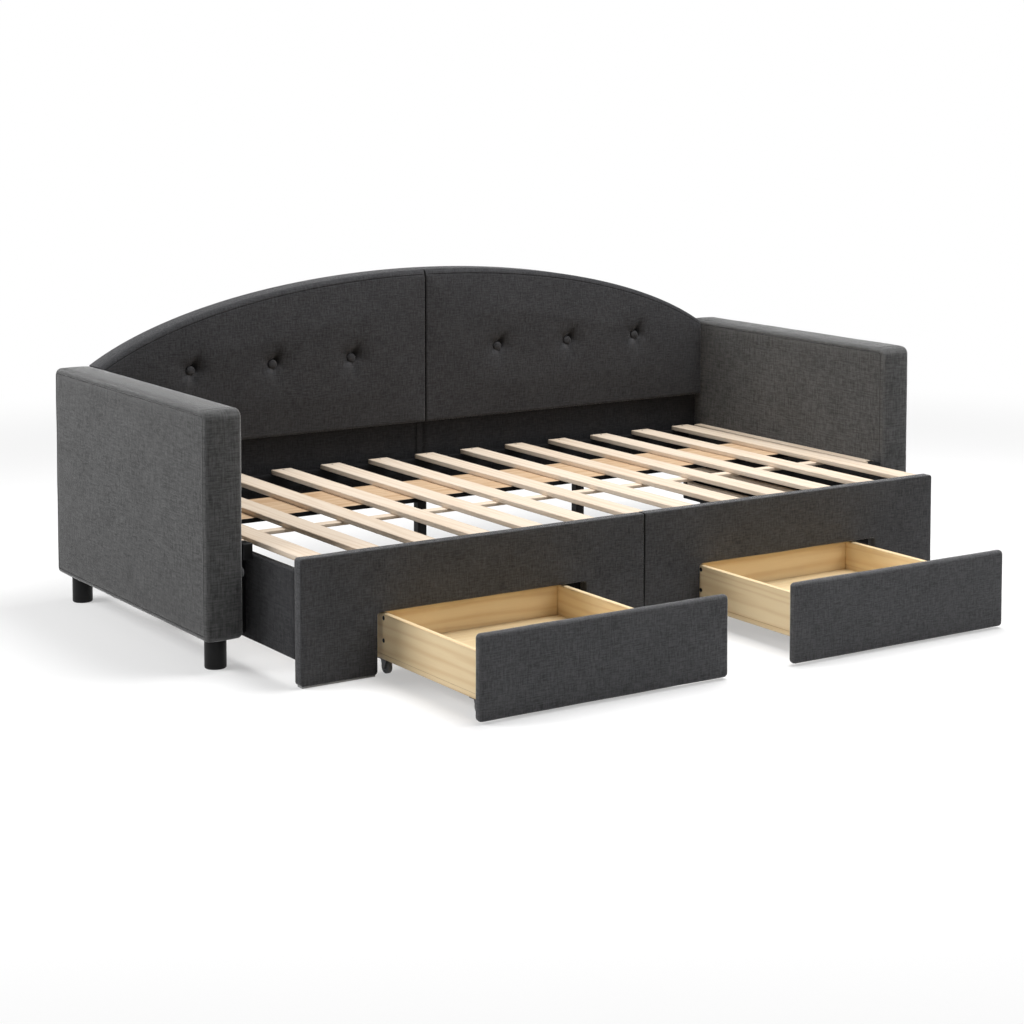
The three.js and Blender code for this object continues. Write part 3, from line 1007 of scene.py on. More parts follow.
def make_piece(name: str, shape: Shape, finish: Finish, role: Role) -> bpy.types.Object:
    """Makes one piece of a shape and ties it to the frame.

    Args:
        name: The piece's name.
        shape: Its shape, which is used up.
        finish: Its material.
        role: Its body, slot and CAD nodes.

    Returns:
        The new piece.
    """
    piece = as_object(name, shape, finish)
    piece.data.shade_smooth()
    piece.data.set_sharp_from_angle(angle=math.radians(50))
    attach(piece, role.body)
    if role.stands_for:
        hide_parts(*role.stands_for)
    LOG.info("%s: %d faces on %s", name, len(piece.data.polygons), role.body)
    return piece


def plain_board(node: str, finish: Finish, slot: Slot, body: str = BASE,
                easing: Easing = SOFT_TIMBER) -> None:
    """Makes the plain board that stands for a CAD node."""
    make_piece(node + "_board", eased_board(*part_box(node), easing), finish, Role(body, slot, (node,)))


def smooth_finish(piece: bpy.types.Object) -> None:
    """Adds a subdivision surface of one level in view and render."""
    modifier = piece.modifiers.new("smooth", "SUBSURF")
    modifier.levels = modifier.render_levels = 1


# --- arms


@dataclass
class Arms:
    """The two padded arms on their round legs."""

    finishes: Finishes
    corner: Rounding = Rounding(0.020, 6)
    lower_corner: Rounding = Rounding(0.013, 4)
    rim: Rounding = Rounding(0.0095, 4)
    least_side: float = 0.1
    seam_inset: float = 0.0015
    seam_width: float = 0.0013
    seam_depth: float = 0.0019
    cross_seam_place: float = 0.022
    cross_seam_depth: float = 0.0020
    cross_seam_width: float = 0.0022
    grid: float = 0.014
    strip_cut: float = 0.020
    side_crown: float = 0.0022
    side_flatness: float = 6.0
    strip_crown: float = 0.0016
    strip_lean: float = 0.3
    side_play: float = 0.0012
    unevenness: float = 0.0008
    waves: float = 9.0
    seed: float = 3.0
    leg_steps: int = 48
    leg_wear: float = 0.004
    leg_foot: Outline = ((0.0040, 0.0), (0.0016, 0.0006), (0.0004, 0.0022), (0.0, 0.0050))
    leg_head: Outline = ((0.0, 0.0060), (0.0006, 0.0042), (0.0020, 0.0030), (0.0024, 0.0))

    def build(self) -> None:
        """Makes both arms and the four legs."""
        for hand in Hand:
            self._arm(hand)
            for end in ("front", "rear"):
                self._leg(f"arm_leg_{end}_{hand.word}")

    def _arm(self, hand: Hand) -> None:
        """Makes one arm: a rounded block with a seam round each side, one across its front, and soft crowns.

        Args:
            hand: Which arm.
        """
        node = f"arm_{hand.word}"
        low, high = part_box(node)
        low.x += self.side_play
        high.x -= self.side_play
        middle, half, halfway = (low.x + high.x) / 2, (high.x - low.x) / 2, (low.z + high.z) / 2
        shape = block(low, high)
        round_edges(shape, edges_along(shape, Axis.X, lambda mid: mid.z > halfway), self.corner)
        round_edges(shape, edges_along(shape, Axis.X, lambda mid: mid.z < low.z + NEAR), self.lower_corner)
        rims = [edge for face in self._sides(shape) for edge in face.edges]
        round_edges(shape, rims, self.rim)
        self._seams(shape)
        inset, lift = self.corner.radius, self.lower_corner.radius
        slice_along(shape, Axis.Y, evenly(low.y + inset, high.y - inset, self.grid))
        slice_along(shape, Axis.Z, evenly(low.z + lift, high.z - inset, self.grid))
        slice_along(shape, Axis.X, (middle - self.strip_cut, middle, middle + self.strip_cut))

        def on_top_strip(point: Vector) -> bool:
            """Whether a point lies on the upper strip between the rims."""
            return point.z > halfway and abs(point.x - middle) < half - self.rim.radius / 2

        press_line(shape, Axis.Y, low.y + self.cross_seam_place, on_top_strip, self.cross_seam_depth,
                   self.cross_seam_width)
        mark_turns(shape)
        swell(shape, Axis.X, self.side_crown, self.side_flatness)
        self._crown_strips(shape, middle, half)
        roughen(shape, self.unevenness, self.waves, self.seed + hand.value)
        piece = make_piece(node + "_cover", shape, self.finishes.arm_cloth, Role(BASE, Slot.CLOTH, (node,)))

    def _sides(self, shape: Shape) -> list[bmesh.types.BMFace]:
        """The two large faces that look to the sides."""
        return [face for face in shape.faces
                if abs(face.normal.x) > FACING and face.calc_area() > self.least_side]

    def _seams(self, shape: Shape) -> None:
        """Sinks a fine seam into both side faces, just inside their rims.

        Args:
            shape: The arm.
        """
        seam = layer_of(shape, Mark.SEAM)
        for face in self._sides(shape):
            for width, depth, shade in ((self.seam_inset, 0.0, 0.0), (self.seam_width, -self.seam_depth, 1.0),
                                        (self.seam_width, self.seam_depth, 0.0)):
                bmesh.ops.inset_region(shape, faces=[face], thickness=width, depth=depth,
                                       use_even_offset=True)
                for vert in face.verts:
                    vert[seam] = shade

    def _crown_strips(self, shape: Shape, middle: float, half: float) -> None:
        """Crowns the front, top and rear strips across their width.

        Args:
            shape: The arm.
            middle: Where the arm's middle lies.
            half: Half of the arm's width.
        """
        shape.normal_update()
        moves = []
        for vert in shape.verts:
            if abs(vert.normal.x) < self.strip_lean:
                share = max(0.0, 1 - ((vert.co.x - middle) / half) ** 2)
                moves.append((vert, vert.normal * self.strip_crown * share))
        for vert, move in moves:
            vert.co += move

    def _leg(self, node: str) -> None:
        """Makes one round leg with a small chamfer at its foot and a shadow gap under the arm.

        Args:
            node: The leg's CAD node.
        """
        low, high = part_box(node)
        radius, tall = (high.x - low.x) / 2, high.z - low.z
        centre = Vector(((low.x + high.x) / 2, (low.y + high.y) / 2, low.z))
        foot = [(radius - inset, up) for inset, up in self.leg_foot]
        head = [(radius - inset, tall - down) for inset, down in self.leg_head]
        shape = turned([(0.0, 0.0), *foot, (radius, tall / 2), *head, (0.0, tall)], Axis.Z, centre,
                       self.leg_steps)
        mark_points(shape, Mark.WEAR, lambda vert: float(vert.co.z < low.z + self.leg_wear))
        make_piece(node + "_turned", shape, self.finishes.black, Role(BASE, Slot.LEG, (node,)))


# --- back


@dataclass(frozen=True)
class ArchLine:
    """The crest of the back, part of one large circle over the daybed's middle."""

    half_width: float = 0.960
    spring: float = 0.597
    rise: float = 0.203
    radius: float = 1.100

    def fall(self, across: float) -> float:
        """How far the circle falls at a distance from the middle, as a share of its radius."""
        return 1 - math.sqrt(1 - min(1.0, abs(across) / self.radius) ** 2)

    def height(self, across: float) -> float:
        """The crest's height at a distance from the middle."""
        return self.spring + self.rise * (1 - self.fall(across) / self.fall(self.half_width))


@dataclass
class BackBoards:
    """The two arched boards behind the pads, the strips over their crests and the one over their join."""

    finishes: Finishes
    arch: ArchLine = field(default_factory=ArchLine)
    column_pitch: float = 0.024
    row_count: int = 14
    edge: Rounding = Rounding(0.0035, 3)
    joint: Rounding = Rounding(0.0014, 2)
    joint_shade: float = 0.0021
    unevenness: float = 0.0006
    waves: float = 7.0
    seed: float = 11.0
    join: Span = (-0.016, 0.007)
    join_proud: float = 0.0022
    join_lift: float = 0.004
    join_gap: float = 0.002
    join_line: float = 0.002
    join_easing: Easing = Easing(Rounding(0.0008, 2), 0.0042)
    crest_depth: float = 0.0045
    crest_share: float = 0.9
    crest_edge: Rounding = Rounding(0.0018, 3)

    def build(self) -> None:
        """Makes both boards, their crests' strips, and the join strip."""
        for hand in Hand:
            self._board(hand)
            self._crest(hand)
        self._join_strip()

    def _join_strip(self) -> None:
        """Makes the strip over the boards' join, with painted shade along both its sides."""
        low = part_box("back_shell_left")[0]
        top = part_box("back_pad_left")[0].z - self.join_gap
        strip = plank(self.join, (low.y - self.join_proud, low.y - HAIR), (low.z + self.join_lift, top),
                      self.join_easing)
        middle, half = sum(self.join) / 2, (self.join[1] - self.join[0]) / 2
        # Painted shade along both sides of the strip.
        mark_points(strip, Mark.SEAM, lambda vert: float(abs(vert.co.x - middle) > half - self.join_line))
        make_piece("back_join_strip", strip, self.finishes.shade_cloth, Role(BASE, Slot.SHADE))

    def _board(self, hand: Hand) -> None:
        """Makes one board: an arched sheet with a wall, its edges rounded, that reaches to the middle.

        Args:
            hand: Which half.
        """
        node = f"back_shell_{hand.word}"
        low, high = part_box(node)
        ends = sorted((hand.outer(low, high), 0.0))
        columns = [ends[0], *evenly(*ends, self.column_pitch), ends[1]]

        def place(across: float, row: int) -> Vector:
            """The front point of a column and row."""
            top = self.arch.height(across) - self.crest_depth
            return Vector((across, low.y, low.z + (top - low.z) * row / (self.row_count - 1)))

        shape = arched_sheet(columns, self.row_count, place)
        thicken_back(shape, high.y)
        round_half(shape, SAME_PLACE, self.edge, self.joint)
        mark_points(shape, Mark.SEAM, lambda vert: float(abs(vert.co.x) < self.joint_shade))
        roughen(shape, self.unevenness, self.waves, self.seed)
        make_piece(node + "_cover", shape, self.finishes.shade_cloth, Role(BASE, Slot.SHADE, (node,)))

    def _crest(self, hand: Hand) -> None:
        """Makes the cover's strip over one board's crest, from the pad's rear edge to the board's.

        Args:
            hand: Which half.
        """
        low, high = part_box(f"back_shell_{hand.word}")
        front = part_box(f"back_pad_{hand.word}")[1].y
        columns = [low.x, *evenly(low.x, high.x, self.column_pitch / 2), high.x]

        def place(across: float, row: int) -> Vector:
            """The front point of a column, at the strip's underside or its top."""
            depth = 0.0 if row else self.crest_depth * self.crest_share
            return Vector((across, front, self.arch.height(across) - depth))

        shape = arched_sheet(columns, 2, place)
        thicken_back(shape, high.y)
        rear = [edge for edge in sharp_edges(shape)
                if all(vert.co.y > high.y - HAIR for vert in edge.verts)
                and abs(edge.verts[0].co.x - edge.verts[1].co.x) > NEAR]
        round_edges(shape, rear, self.crest_edge)
        mark_turns(shape)
        make_piece(f"back_crest_{hand.word}", shape, self.finishes.pad_cloth, Role(BASE, Slot.CLOTH))


@dataclass
class BackPads:
    """The two tufted pads: swelled as cloth, then drawn in at the buttons, with a seam under the crest."""

    finishes: Finishes
    arch: ArchLine = field(default_factory=ArchLine)
    pitch: float = 0.0085
    flat_front: float = 0.7990 - ROW_TO_ARMS
    front_play: float = 0.004
    crest_roll: Span = (0.032, 0.0150)
    side_roll: Span = (0.007, 0.007)
    foot_roll: Span = (0.009, 0.009)
    least_thickness: float = 0.012
    joint_shade: float = 0.003
    joint_tone: float = 0.8
    seam_tone: float = 0.9
    seam_place: float = 0.0145
    seam_play: float = 0.0004
    seam_end: float = 0.004
    seam_depth: float = 0.0016
    crown: float = 0.0095
    crown_powers: tuple[int, int] = (8, 4)
    held_rim: float = 0.012
    pressure: float = 4.0
    frames: int = 20
    tuft_reach: float = 0.074
    tuft_fall: float = 0.0170
    tuft_seat: float = 0.0006
    fine_reach: float = 0.056
    button_radius: float = 0.013
    pull_start: float = 0.86
    crease_depth: float = 0.0085
    crease_width: float = 0.0095
    crease_fall: float = 0.024
    crease_start: float = 0.7
    creases: Outline = ((56.0, 1.0), (24.0, 0.30), (246.0, -0.9), (203.0, 0.25), (104.0, -0.3), (145.0, 0.2),
                        (288.0, 0.25), (325.0, -0.2), (355.0, 0.2))
    crease_shade: float = 1.6
    crease_light: float = 1.7
    rim_rows: Span = (0.0, 0.0012, 0.0036, 0.0072, 0.0110, 0.0133, 0.0145, 0.0157, 0.0182)
    rear_play: float = 0.0001
    rear_hold: float = 0.0009
    button_face: Outline = ((0.0, 0.0), (0.30, 0.0003), (0.55, 0.0011), (0.76, 0.0024), (0.91, 0.0042),
                            (1.0, 0.0064), (0.97, 0.0078))
    button_foot: float = 0.84
    button_shade: float = 0.0050
    button_steps: int = 40
    button_unevenness: float = 0.0003
    button_waves: float = 160.0
    button_seed: float = 5.0

    def build(self) -> None:
        """Makes both pads and the six buttons."""
        for hand in Hand:
            buttons = [f"back_button_{hand.word}_{number}" for number in (1, 2, 3)]
            self._pad(hand, buttons)
            for button in buttons:
                self._button(button)

    def _pad(self, hand: Hand, buttons: Sequence[str]) -> None:
        """Makes one pad.

        Args:
            hand: Which half.
            buttons: The CAD nodes of its buttons.
        """
        node = f"back_pad_{hand.word}"
        low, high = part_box(node)
        rim = self.rim_rows
        body = evenly(low.x + rim[-1], high.x - rim[-1], self.pitch)
        columns = [*(low.x + step for step in rim), *body, *(high.x - step for step in reversed(rim))]
        middle_rows = math.ceil((high.z - low.z) / self.pitch)
        rows = 2 * len(rim) + middle_rows

        def place(across: float, row: int) -> Vector:
            """Puts a point on the front: on the rolled rim or the flat middle.

            Args:
                across: Where the point's column stands.
                row: The number of its row.

            Returns:
                The point.
            """
            top = self.arch.height(across)
            if row < len(rim):
                height = low.z + rim[row]
            elif row >= rows - len(rim):
                height = top - rim[rows - 1 - row]
            else:
                share = (row - len(rim) + 1) / (middle_rows + 1)
                height = low.z + rim[-1] + share * (top - low.z - 2 * rim[-1])
            rolls = [(height - low.z, self.foot_roll), (top - height, self.crest_roll),
                     (across - low.x, self.side_roll), (high.x - across, self.side_roll)]
            back = sum(self._roll(distance, *roll) ** 2 for distance, roll in rolls) ** 0.5
            most = high.y - self.flat_front - self.least_thickness
            return Vector((across, self.flat_front + min(back, most), height))

        shape = arched_sheet(columns, rows, place)
        thicken_back(shape, high.y - self.rear_play)
        slice_along(shape, Axis.Y, (high.y - self.rear_play - self.rear_hold,))
        self._lift(shape, low, high)
        for button in buttons:
            self._tuft(shape, button)
        self._rim_seams(shape, low, high)
        piece = make_piece(node + "_cover", shape, self.finishes.pad_cloth, Role(BASE, Slot.CLOTH, (node,)))
        smooth_finish(piece)

    @staticmethod
    def _roll(distance: float, reach: float, depth: float) -> float:
        """How far a rolled rim, of a reach along the front and a depth, lies back near its edge."""
        inside = max(0.0, 1 - distance / reach)
        return depth * (1 - math.sqrt(max(0.0, 1 - inside ** 2)))

    def _lift(self, shape: Shape, low: Vector, high: Vector) -> None:
        """Args:
            shape: The pad.
            low: Its lowest corner.
            high: Its highest corner.
        """
        held = [min(vert.co.x - low.x, high.x - vert.co.x, vert.co.z - low.z,
                    self.arch.height(vert.co.x) - vert.co.z) < self.held_rim
                or vert.co.y > self.flat_front + self.front_play for vert in shape.verts]
        swelled = self._simulate(shape, held)
        for vert, move, fixed in zip(shape.verts, swelled, held):
            if not fixed:
                length = move.length
                vert.co += move * (min(length, self.crown) / length if length else 0.0)

    def _simulate(self, shape: Shape, held: Sequence[bool]) -> list[Vector]:
        """Runs the cloth solver on a copy of the shape.

        Args:
            shape: The pad's closed shape.
            held: Which points stay where they are.

        Returns:
            How far each point has moved.
        """
        mesh = bpy.data.meshes.new("pad_cloth")
        shape.to_mesh(mesh)
        cloth = bpy.data.objects.new("pad_cloth", mesh)
        scene = bpy.context.scene
        scene.collection.objects.link(cloth)
        group = cloth.vertex_groups.new(name="held")
        group.add([index for index, fixed in enumerate(held) if fixed], 1.0, "ADD")
        modifier = cloth.modifiers.new("swell", "CLOTH")
        settings = {"quality": 5, "mass": 0.3, "tension_stiffness": 18, "compression_stiffness": 18,
                    "bending_stiffness": 0.4, "use_pressure": True, "uniform_pressure_force": self.pressure,
                    "vertex_group_mass": "held"}
        for key, value in settings.items():
            setattr(modifier.settings, key, value)
        modifier.settings.effector_weights.gravity = 0.0
        modifier.collision_settings.use_collision = False
        modifier.point_cache.frame_start = 1
        modifier.point_cache.frame_end = self.frames
        for number in range(1, self.frames + 1):
            scene.frame_set(number)
        evaluated = cloth.evaluated_get(bpy.context.evaluated_depsgraph_get())
        moved = [after.co - before.co for after, before in zip(evaluated.data.vertices, mesh.vertices)]
        most = max(move.length for move in moved)
        scene.frame_set(1)
        bpy.data.objects.remove(cloth)
        bpy.data.meshes.remove(mesh)
        LOG.info("pad cloth swelled by %.1f mm before its cap", most * 1000)
        return moved

    def _tuft(self, shape: Shape, button: str) -> None:
        """Draws the front in at a button, with creases that run out from it, and paints shade into the creases
        and a highlight onto the ridges.

        Args:
            shape: The pad.
            button: The button's CAD node.
        """
        seam, wear = layer_of(shape, Mark.SEAM), layer_of(shape, Mark.WEAR)
        low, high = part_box(button)
        middle, seat = (low + high) / 2, high.y + self.tuft_seat
        near = {vert for vert in shape.verts if vert.co.y < seat
                and math.hypot(vert.co.x - middle.x, vert.co.z - middle.z) < self.fine_reach}
        edges = [edge for edge in shape.edges if near.issuperset(edge.verts)]
        bmesh.ops.subdivide_edges(shape, edges=edges, cuts=1, use_grid_fill=True)
        for vert in shape.verts:
            out = Vector((vert.co.x - middle.x, vert.co.z - middle.z))
            if out.length > self.tuft_reach or vert.co.y > seat:
                continue
            beyond = max(0.0, out.length - self.button_radius * self.pull_start)
            fade = 1 - out.length / self.tuft_reach
            pull = math.exp(-beyond / self.tuft_fall) * min(1.0, 3 * fade)
            crease = self._crease(out, beyond, fade)
            vert.co.y += (seat - vert.co.y) * pull + crease
            # Painted shade in the creases through the seam mark, and painted highlight on the ridges through
            # the wear mark.
            deep = self.crease_shade * crease / self.crease_depth
            vert[seam] = max(vert[seam], min(1.0, max(0.0, deep)))
            vert[wear] = max(vert[wear], min(self.crease_light, -self.crease_light * deep))

    def _crease(self, out: Vector, beyond: float, fade: float) -> float:
        """Adds up the creases round a button.

        Args:
            out: The way from the button's middle to a point, across and up.
            beyond: How far the point lies outside the button.
            fade: 1 at the button's middle, and 0 where the tuft ends.

        Returns:
            How deep the creases are at the point.
        """
        if out.length < self.button_radius * self.crease_start:
            return 0.0
        deep = 0.0
        for degrees, strength in self.creases:
            ray = Vector((math.cos(math.radians(degrees)), math.sin(math.radians(degrees))))
            if out.dot(ray) > 0:
                aside = abs(out.x * ray.y - out.y * ray.x)
                deep += strength * math.exp(-(aside / self.crease_width) ** 2)
        falling = math.exp(-beyond / self.crease_fall) * min(1.0, 2 * fade)
        return self.crease_depth * max(-1.0, min(1.0, deep)) * falling

    def _rim_seams(self, shape: Shape, low: Vector, high: Vector) -> None:
        """Sinks the seam that follows the crest, and paints shade along the edges at the joint and the foot.

        Args:
            shape: The pad.
            low: Its lowest corner.
            high: Its highest corner.
        """
        seam = layer_of(shape, Mark.SEAM)
        for vert in shape.verts:
            under = self.arch.height(vert.co.x) - vert.co.z
            aside = min(vert.co.x - low.x, high.x - vert.co.x)
            # Painted shade along the joint between the pads and along the pad's foot.
            if abs(vert.co.x) < self.joint_shade or vert.co.z < low.z + self.joint_shade:
                vert[seam] = self.joint_tone
            if (abs(under - self.seam_place) < self.seam_play and aside > self.seam_end
                    and vert.co.y < self.flat_front + self.front_play):
                vert.co.y += self.seam_depth
                vert[seam] = self.seam_tone

    def _button(self, node: str) -> None:
        """Makes one cloth-covered button with a gathered underside that gets painted shade.

        Args:
            node: The button's CAD node.
        """
        low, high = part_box(node)
        centre = Vector(((low.x + high.x) / 2, low.y, (low.z + high.z) / 2))
        radius, deep = (high.x - low.x) / 2, high.y - low.y
        outline = [*scaled(self.button_face, radius), (radius * self.button_foot, deep), (0.0, deep)]
        shape = turned(outline, Axis.Y, centre, self.button_steps)
        # Painted shade on the button's underside.
        mark_points(shape, Mark.SEAM,
                    lambda vert: self.seam_tone if vert.co.y > low.y + self.button_shade else 0.0)
        roughen(shape, self.button_unevenness, self.button_waves, self.button_seed)
        smooth_finish(make_piece(node + "_cover", shape, self.finishes.pad_cloth,
                                 Role(BASE, Slot.CLOTH, (node,))))


# --- base and deck


@dataclass
class Base:
    """What carries the deck: side panels, arm rails, front panel and its glides."""

    finishes: Finishes
    grid: float = 0.024
    grid_margin: float = 0.0165
    corner: Rounding = Rounding(0.0075, 5)
    edge: Rounding = Rounding(0.0075, 4)
    joint: Rounding = Rounding(0.0024, 3)
    joint_play: float = 0.0010
    joint_near: float = 0.002
    joint_clear: float = 0.010
    least_turn: float = 1.0
    unevenness: float = 0.0009
    waves: float = 8.0
    panel_seed: float = 21.0
    side_seed: float = 31.0
    rail_seed: float = 41.0
    opening: Span = (0.169, 0.739)
    opening_top: float = 0.146
    lining_thickness: float = 0.0012
    lining_margin: float = 0.010
    lining_play: float = 0.002
    joint_cover: float = 0.020
    joint_cover_drop: float = 0.009
    skid_margin: float = 0.005
    skid_setback: float = 0.003
    skid_lift: float = 0.0010
    skid_overlap: float = 0.0004
    panel_edge: Rounding = Rounding(0.004, 3)
    rail_edge: Rounding = Rounding(0.003, 3)
    rail_setback: float = 0.040
    bracket_height: float = 0.038
    bracket_play: float = 0.0004
    bracket_front: float = 0.001
    bracket_gap: float = 0.0002
    bolt_drop: float = 0.066
    bolt_setback: float = 0.014
    bolt_radius: float = 0.0115
    bolt_head: Outline = ((0.0, 0.0), (1.0, 0.0), (1.0, 0.0030), (0.92, 0.0042), (0.5, 0.0058), (0.0, 0.0062))
    cleat_depth: float = 0.012
    cleat_ends: Span = (0.06, 0.04)
    cleat_heights: Outline = ((0.105, 0.118), (0.158, 0.170))
    glide_side: Outline = ((0.0, 0.0), (0.7, 0.0), (0.92, 0.12), (1.0, 0.4), (1.0, 1.0), (0.0, 1.0))
    round_steps: int = 32

    def build(self) -> None:
        """Makes the base's pieces."""
        for hand in Hand:
            self._front_panel(hand)
            self._side_panel(hand)
            self._arm_rail(hand)
        self._post_lining()
        for place in ("left", "middle", "right"):
            self._glide(f"front_glide_{place}")
        self._skids()

    def _front_panel(self, hand: Hand) -> None:
        """Makes half of the front panel, with its drawer opening down to the floor.

        Args:
            hand: Which half.
        """
        node = f"front_panel_{hand.word}"
        low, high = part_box(node)
        start, end = sorted(hand.value * place for place in self.opening)
        if hand is Hand.LEFT:
            high.x -= self.joint_play
        else:
            low.x += self.joint_play
        shape = block(low, high)
        slice_along(shape, Axis.X, (start, end))
        slice_along(shape, Axis.Z, (self.opening_top,))
        inside = [face for face in shape.faces if start < face.calc_center_median().x < end
                  and face.calc_center_median().z < self.opening_top]
        bmesh.ops.delete(shape, geom=inside, context="FACES")
        rims = [edge for edge in shape.edges if edge.is_boundary
                and abs(edge.verts[0].co.y - edge.verts[1].co.y) < SAME_PLACE]
        bmesh.ops.bridge_loops(shape, edges=rims)
        bmesh.ops.recalc_face_normals(shape, faces=shape.faces)
        corners = edges_along(shape, Axis.Y, lambda mid: abs(mid.x) > self.joint_clear)
        round_edges(shape, [edge for edge in corners if edge.calc_face_angle(0.0) > self.least_turn],
                    self.corner)
        round_half(shape, self.joint_near, self.edge, self.joint)
        self._soften(shape, self.panel_seed + hand.value)
        mark_points(shape, Mark.SEAM, lambda vert: float(abs(vert.co.x) < self.joint.radius))
        make_piece(node + "_cover", shape, self.finishes.panel_cloth, Role(BASE, Slot.CLOTH, (node,)))

    def _post_lining(self) -> None:
        """Makes a black sheet behind the post between the openings, and behind the joint over it, standing in
        for the shade seen through those gaps.
        """
        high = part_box("front_panel_left")[1]
        depth = (high.y, high.y + self.lining_thickness)
        post = (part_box("drawer_left_side_right")[1].x + self.lining_play,
                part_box("drawer_right_side_left")[0].x - self.lining_play)
        step = self.opening_top + self.lining_margin
        # A dark sheet as painted shade, so the gaps beside the drawers and at the joint look dark.
        sheets = [plank(post, depth, (self.lining_margin, step), SHEET),
                  plank((-self.joint_cover, self.joint_cover), depth,
                        (step, high.z - self.joint_cover_drop), SHEET)]
        make_piece("front_post_lining", joined(sheets), self.finishes.lining, Role(BASE, Slot.SHADE))

    def _soften(self, shape: Shape, seed: float) -> None:
        """Cuts an upholstered board into a grid and makes its cloth a little uneven.

        Args:
            shape: The board.
            seed: Where in the noise the board lies.
        """
        low, high = span_of(shape)
        wide = [axis for axis in Axis if high[axis.value] - low[axis.value] > 3 * self.grid]
        cut_grid(shape, wide, self.grid_margin, self.grid)
        mark_turns(shape)
        roughen(shape, self.unevenness, self.waves, seed)

    def _side_panel(self, hand: Hand) -> None:
        """Makes one side panel, with black lining and two cleats on its inner face.

        Args:
            hand: Which side.
        """
        node = f"side_panel_{hand.word}"
        low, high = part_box(node)
        shape = block(low, high)
        round_edges(shape, sharp_edges(shape), self.panel_edge)
        self._soften(shape, self.side_seed + hand.value)
        make_piece(node + "_cover", shape, self.finishes.side_cloth, Role(BASE, Slot.SHADE, (node,)))
        face = hand.inner(low, high)
        lined = face - hand.value * self.lining_thickness
        margin = self.lining_margin
        lining = plank(sorted((face, lined)), (low.y + margin, high.y - margin),
                       (low.z + margin, high.z - margin), SHEET)
        make_piece(f"side_lining_{hand.word}", lining, self.finishes.lining, Role(BASE, Slot.SHADE))
        across = sorted((lined, lined - hand.value * self.cleat_depth))
        along = (low.y + self.cleat_ends[0], high.y - self.cleat_ends[1])
        for number, up in enumerate(self.cleat_heights, 1):
            make_piece(f"side_cleat_{hand.word}_{number}", plank(across, along, up),
                       self.finishes.slat_pine, Role(BASE, Slot.SLAT))

    def _arm_rail(self, hand: Hand) -> None:
        """Makes one dark rail between side panel and arm, with the bracket and the bolt in front of it.

        Args:
            hand: Which side.
        """
        node = f"arm_rail_{hand.word}"
        low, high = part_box(node)
        front = low.y + self.rail_setback
        shape = block(Vector((low.x, front, low.z)), high)
        round_edges(shape, sharp_edges(shape), self.rail_edge)
        self._soften(shape, self.rail_seed + hand.value)
        make_piece(node + "_cover", shape, self.finishes.lining, Role(BASE, Slot.SHADE, (node,)))
        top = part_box(f"edge_strip_{hand.word}")[1].z
        bracket = plank((low.x + self.bracket_play, high.x - self.bracket_play),
                        (low.y + self.bracket_front, front - self.bracket_gap),
                        (top - self.bracket_height, top), SOFT_TIMBER)
        make_piece(f"arm_bracket_{hand.word}", bracket, self.finishes.black, Role(BASE, Slot.LEG))
        place = Vector((hand.outer(low, high), low.y + self.bolt_setback, top - self.bolt_drop))
        bolt = turned(scaled(self.bolt_head, self.bolt_radius, -hand.value), Axis.X, place, self.round_steps)
        make_piece(f"arm_bolt_{hand.word}", bolt, self.finishes.tyre, Role(BASE, Slot.STEEL))

    def _skids(self) -> None:
        """Makes the thin pale skid strips under the front panel's three feet."""
        low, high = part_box("front_panel_left")
        outer, inner = -low.x - self.skid_margin, self.opening[1] + self.skid_margin
        post = self.opening[0] - self.skid_margin
        feet = {"left": (-outer, -inner), "middle": (-post, post), "right": (inner, outer)}
        for name, across in feet.items():
            skid = plank(across, (low.y + self.skid_setback, high.y - self.skid_setback),
                         (self.skid_lift, low.z + self.skid_overlap), THIN)
            make_piece(f"front_skid_{name}", skid, self.finishes.glide, Role(BASE, Slot.GLIDE))

    def _glide(self, node: str) -> None:
        """Makes one nail-on glide under the front panel.

        Args:
            node: The glide's CAD node.
        """
        low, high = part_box(node)
        centre = Vector(((low.x + high.x) / 2, (low.y + high.y) / 2, low.z))
        outline = scaled(self.glide_side, (high.x - low.x) / 2, high.z - low.z)
        make_piece(node + "_turned", turned(outline, Axis.Z, centre, self.round_steps), self.finishes.glide,
                   Role(BASE, Slot.GLIDE, (node,)))


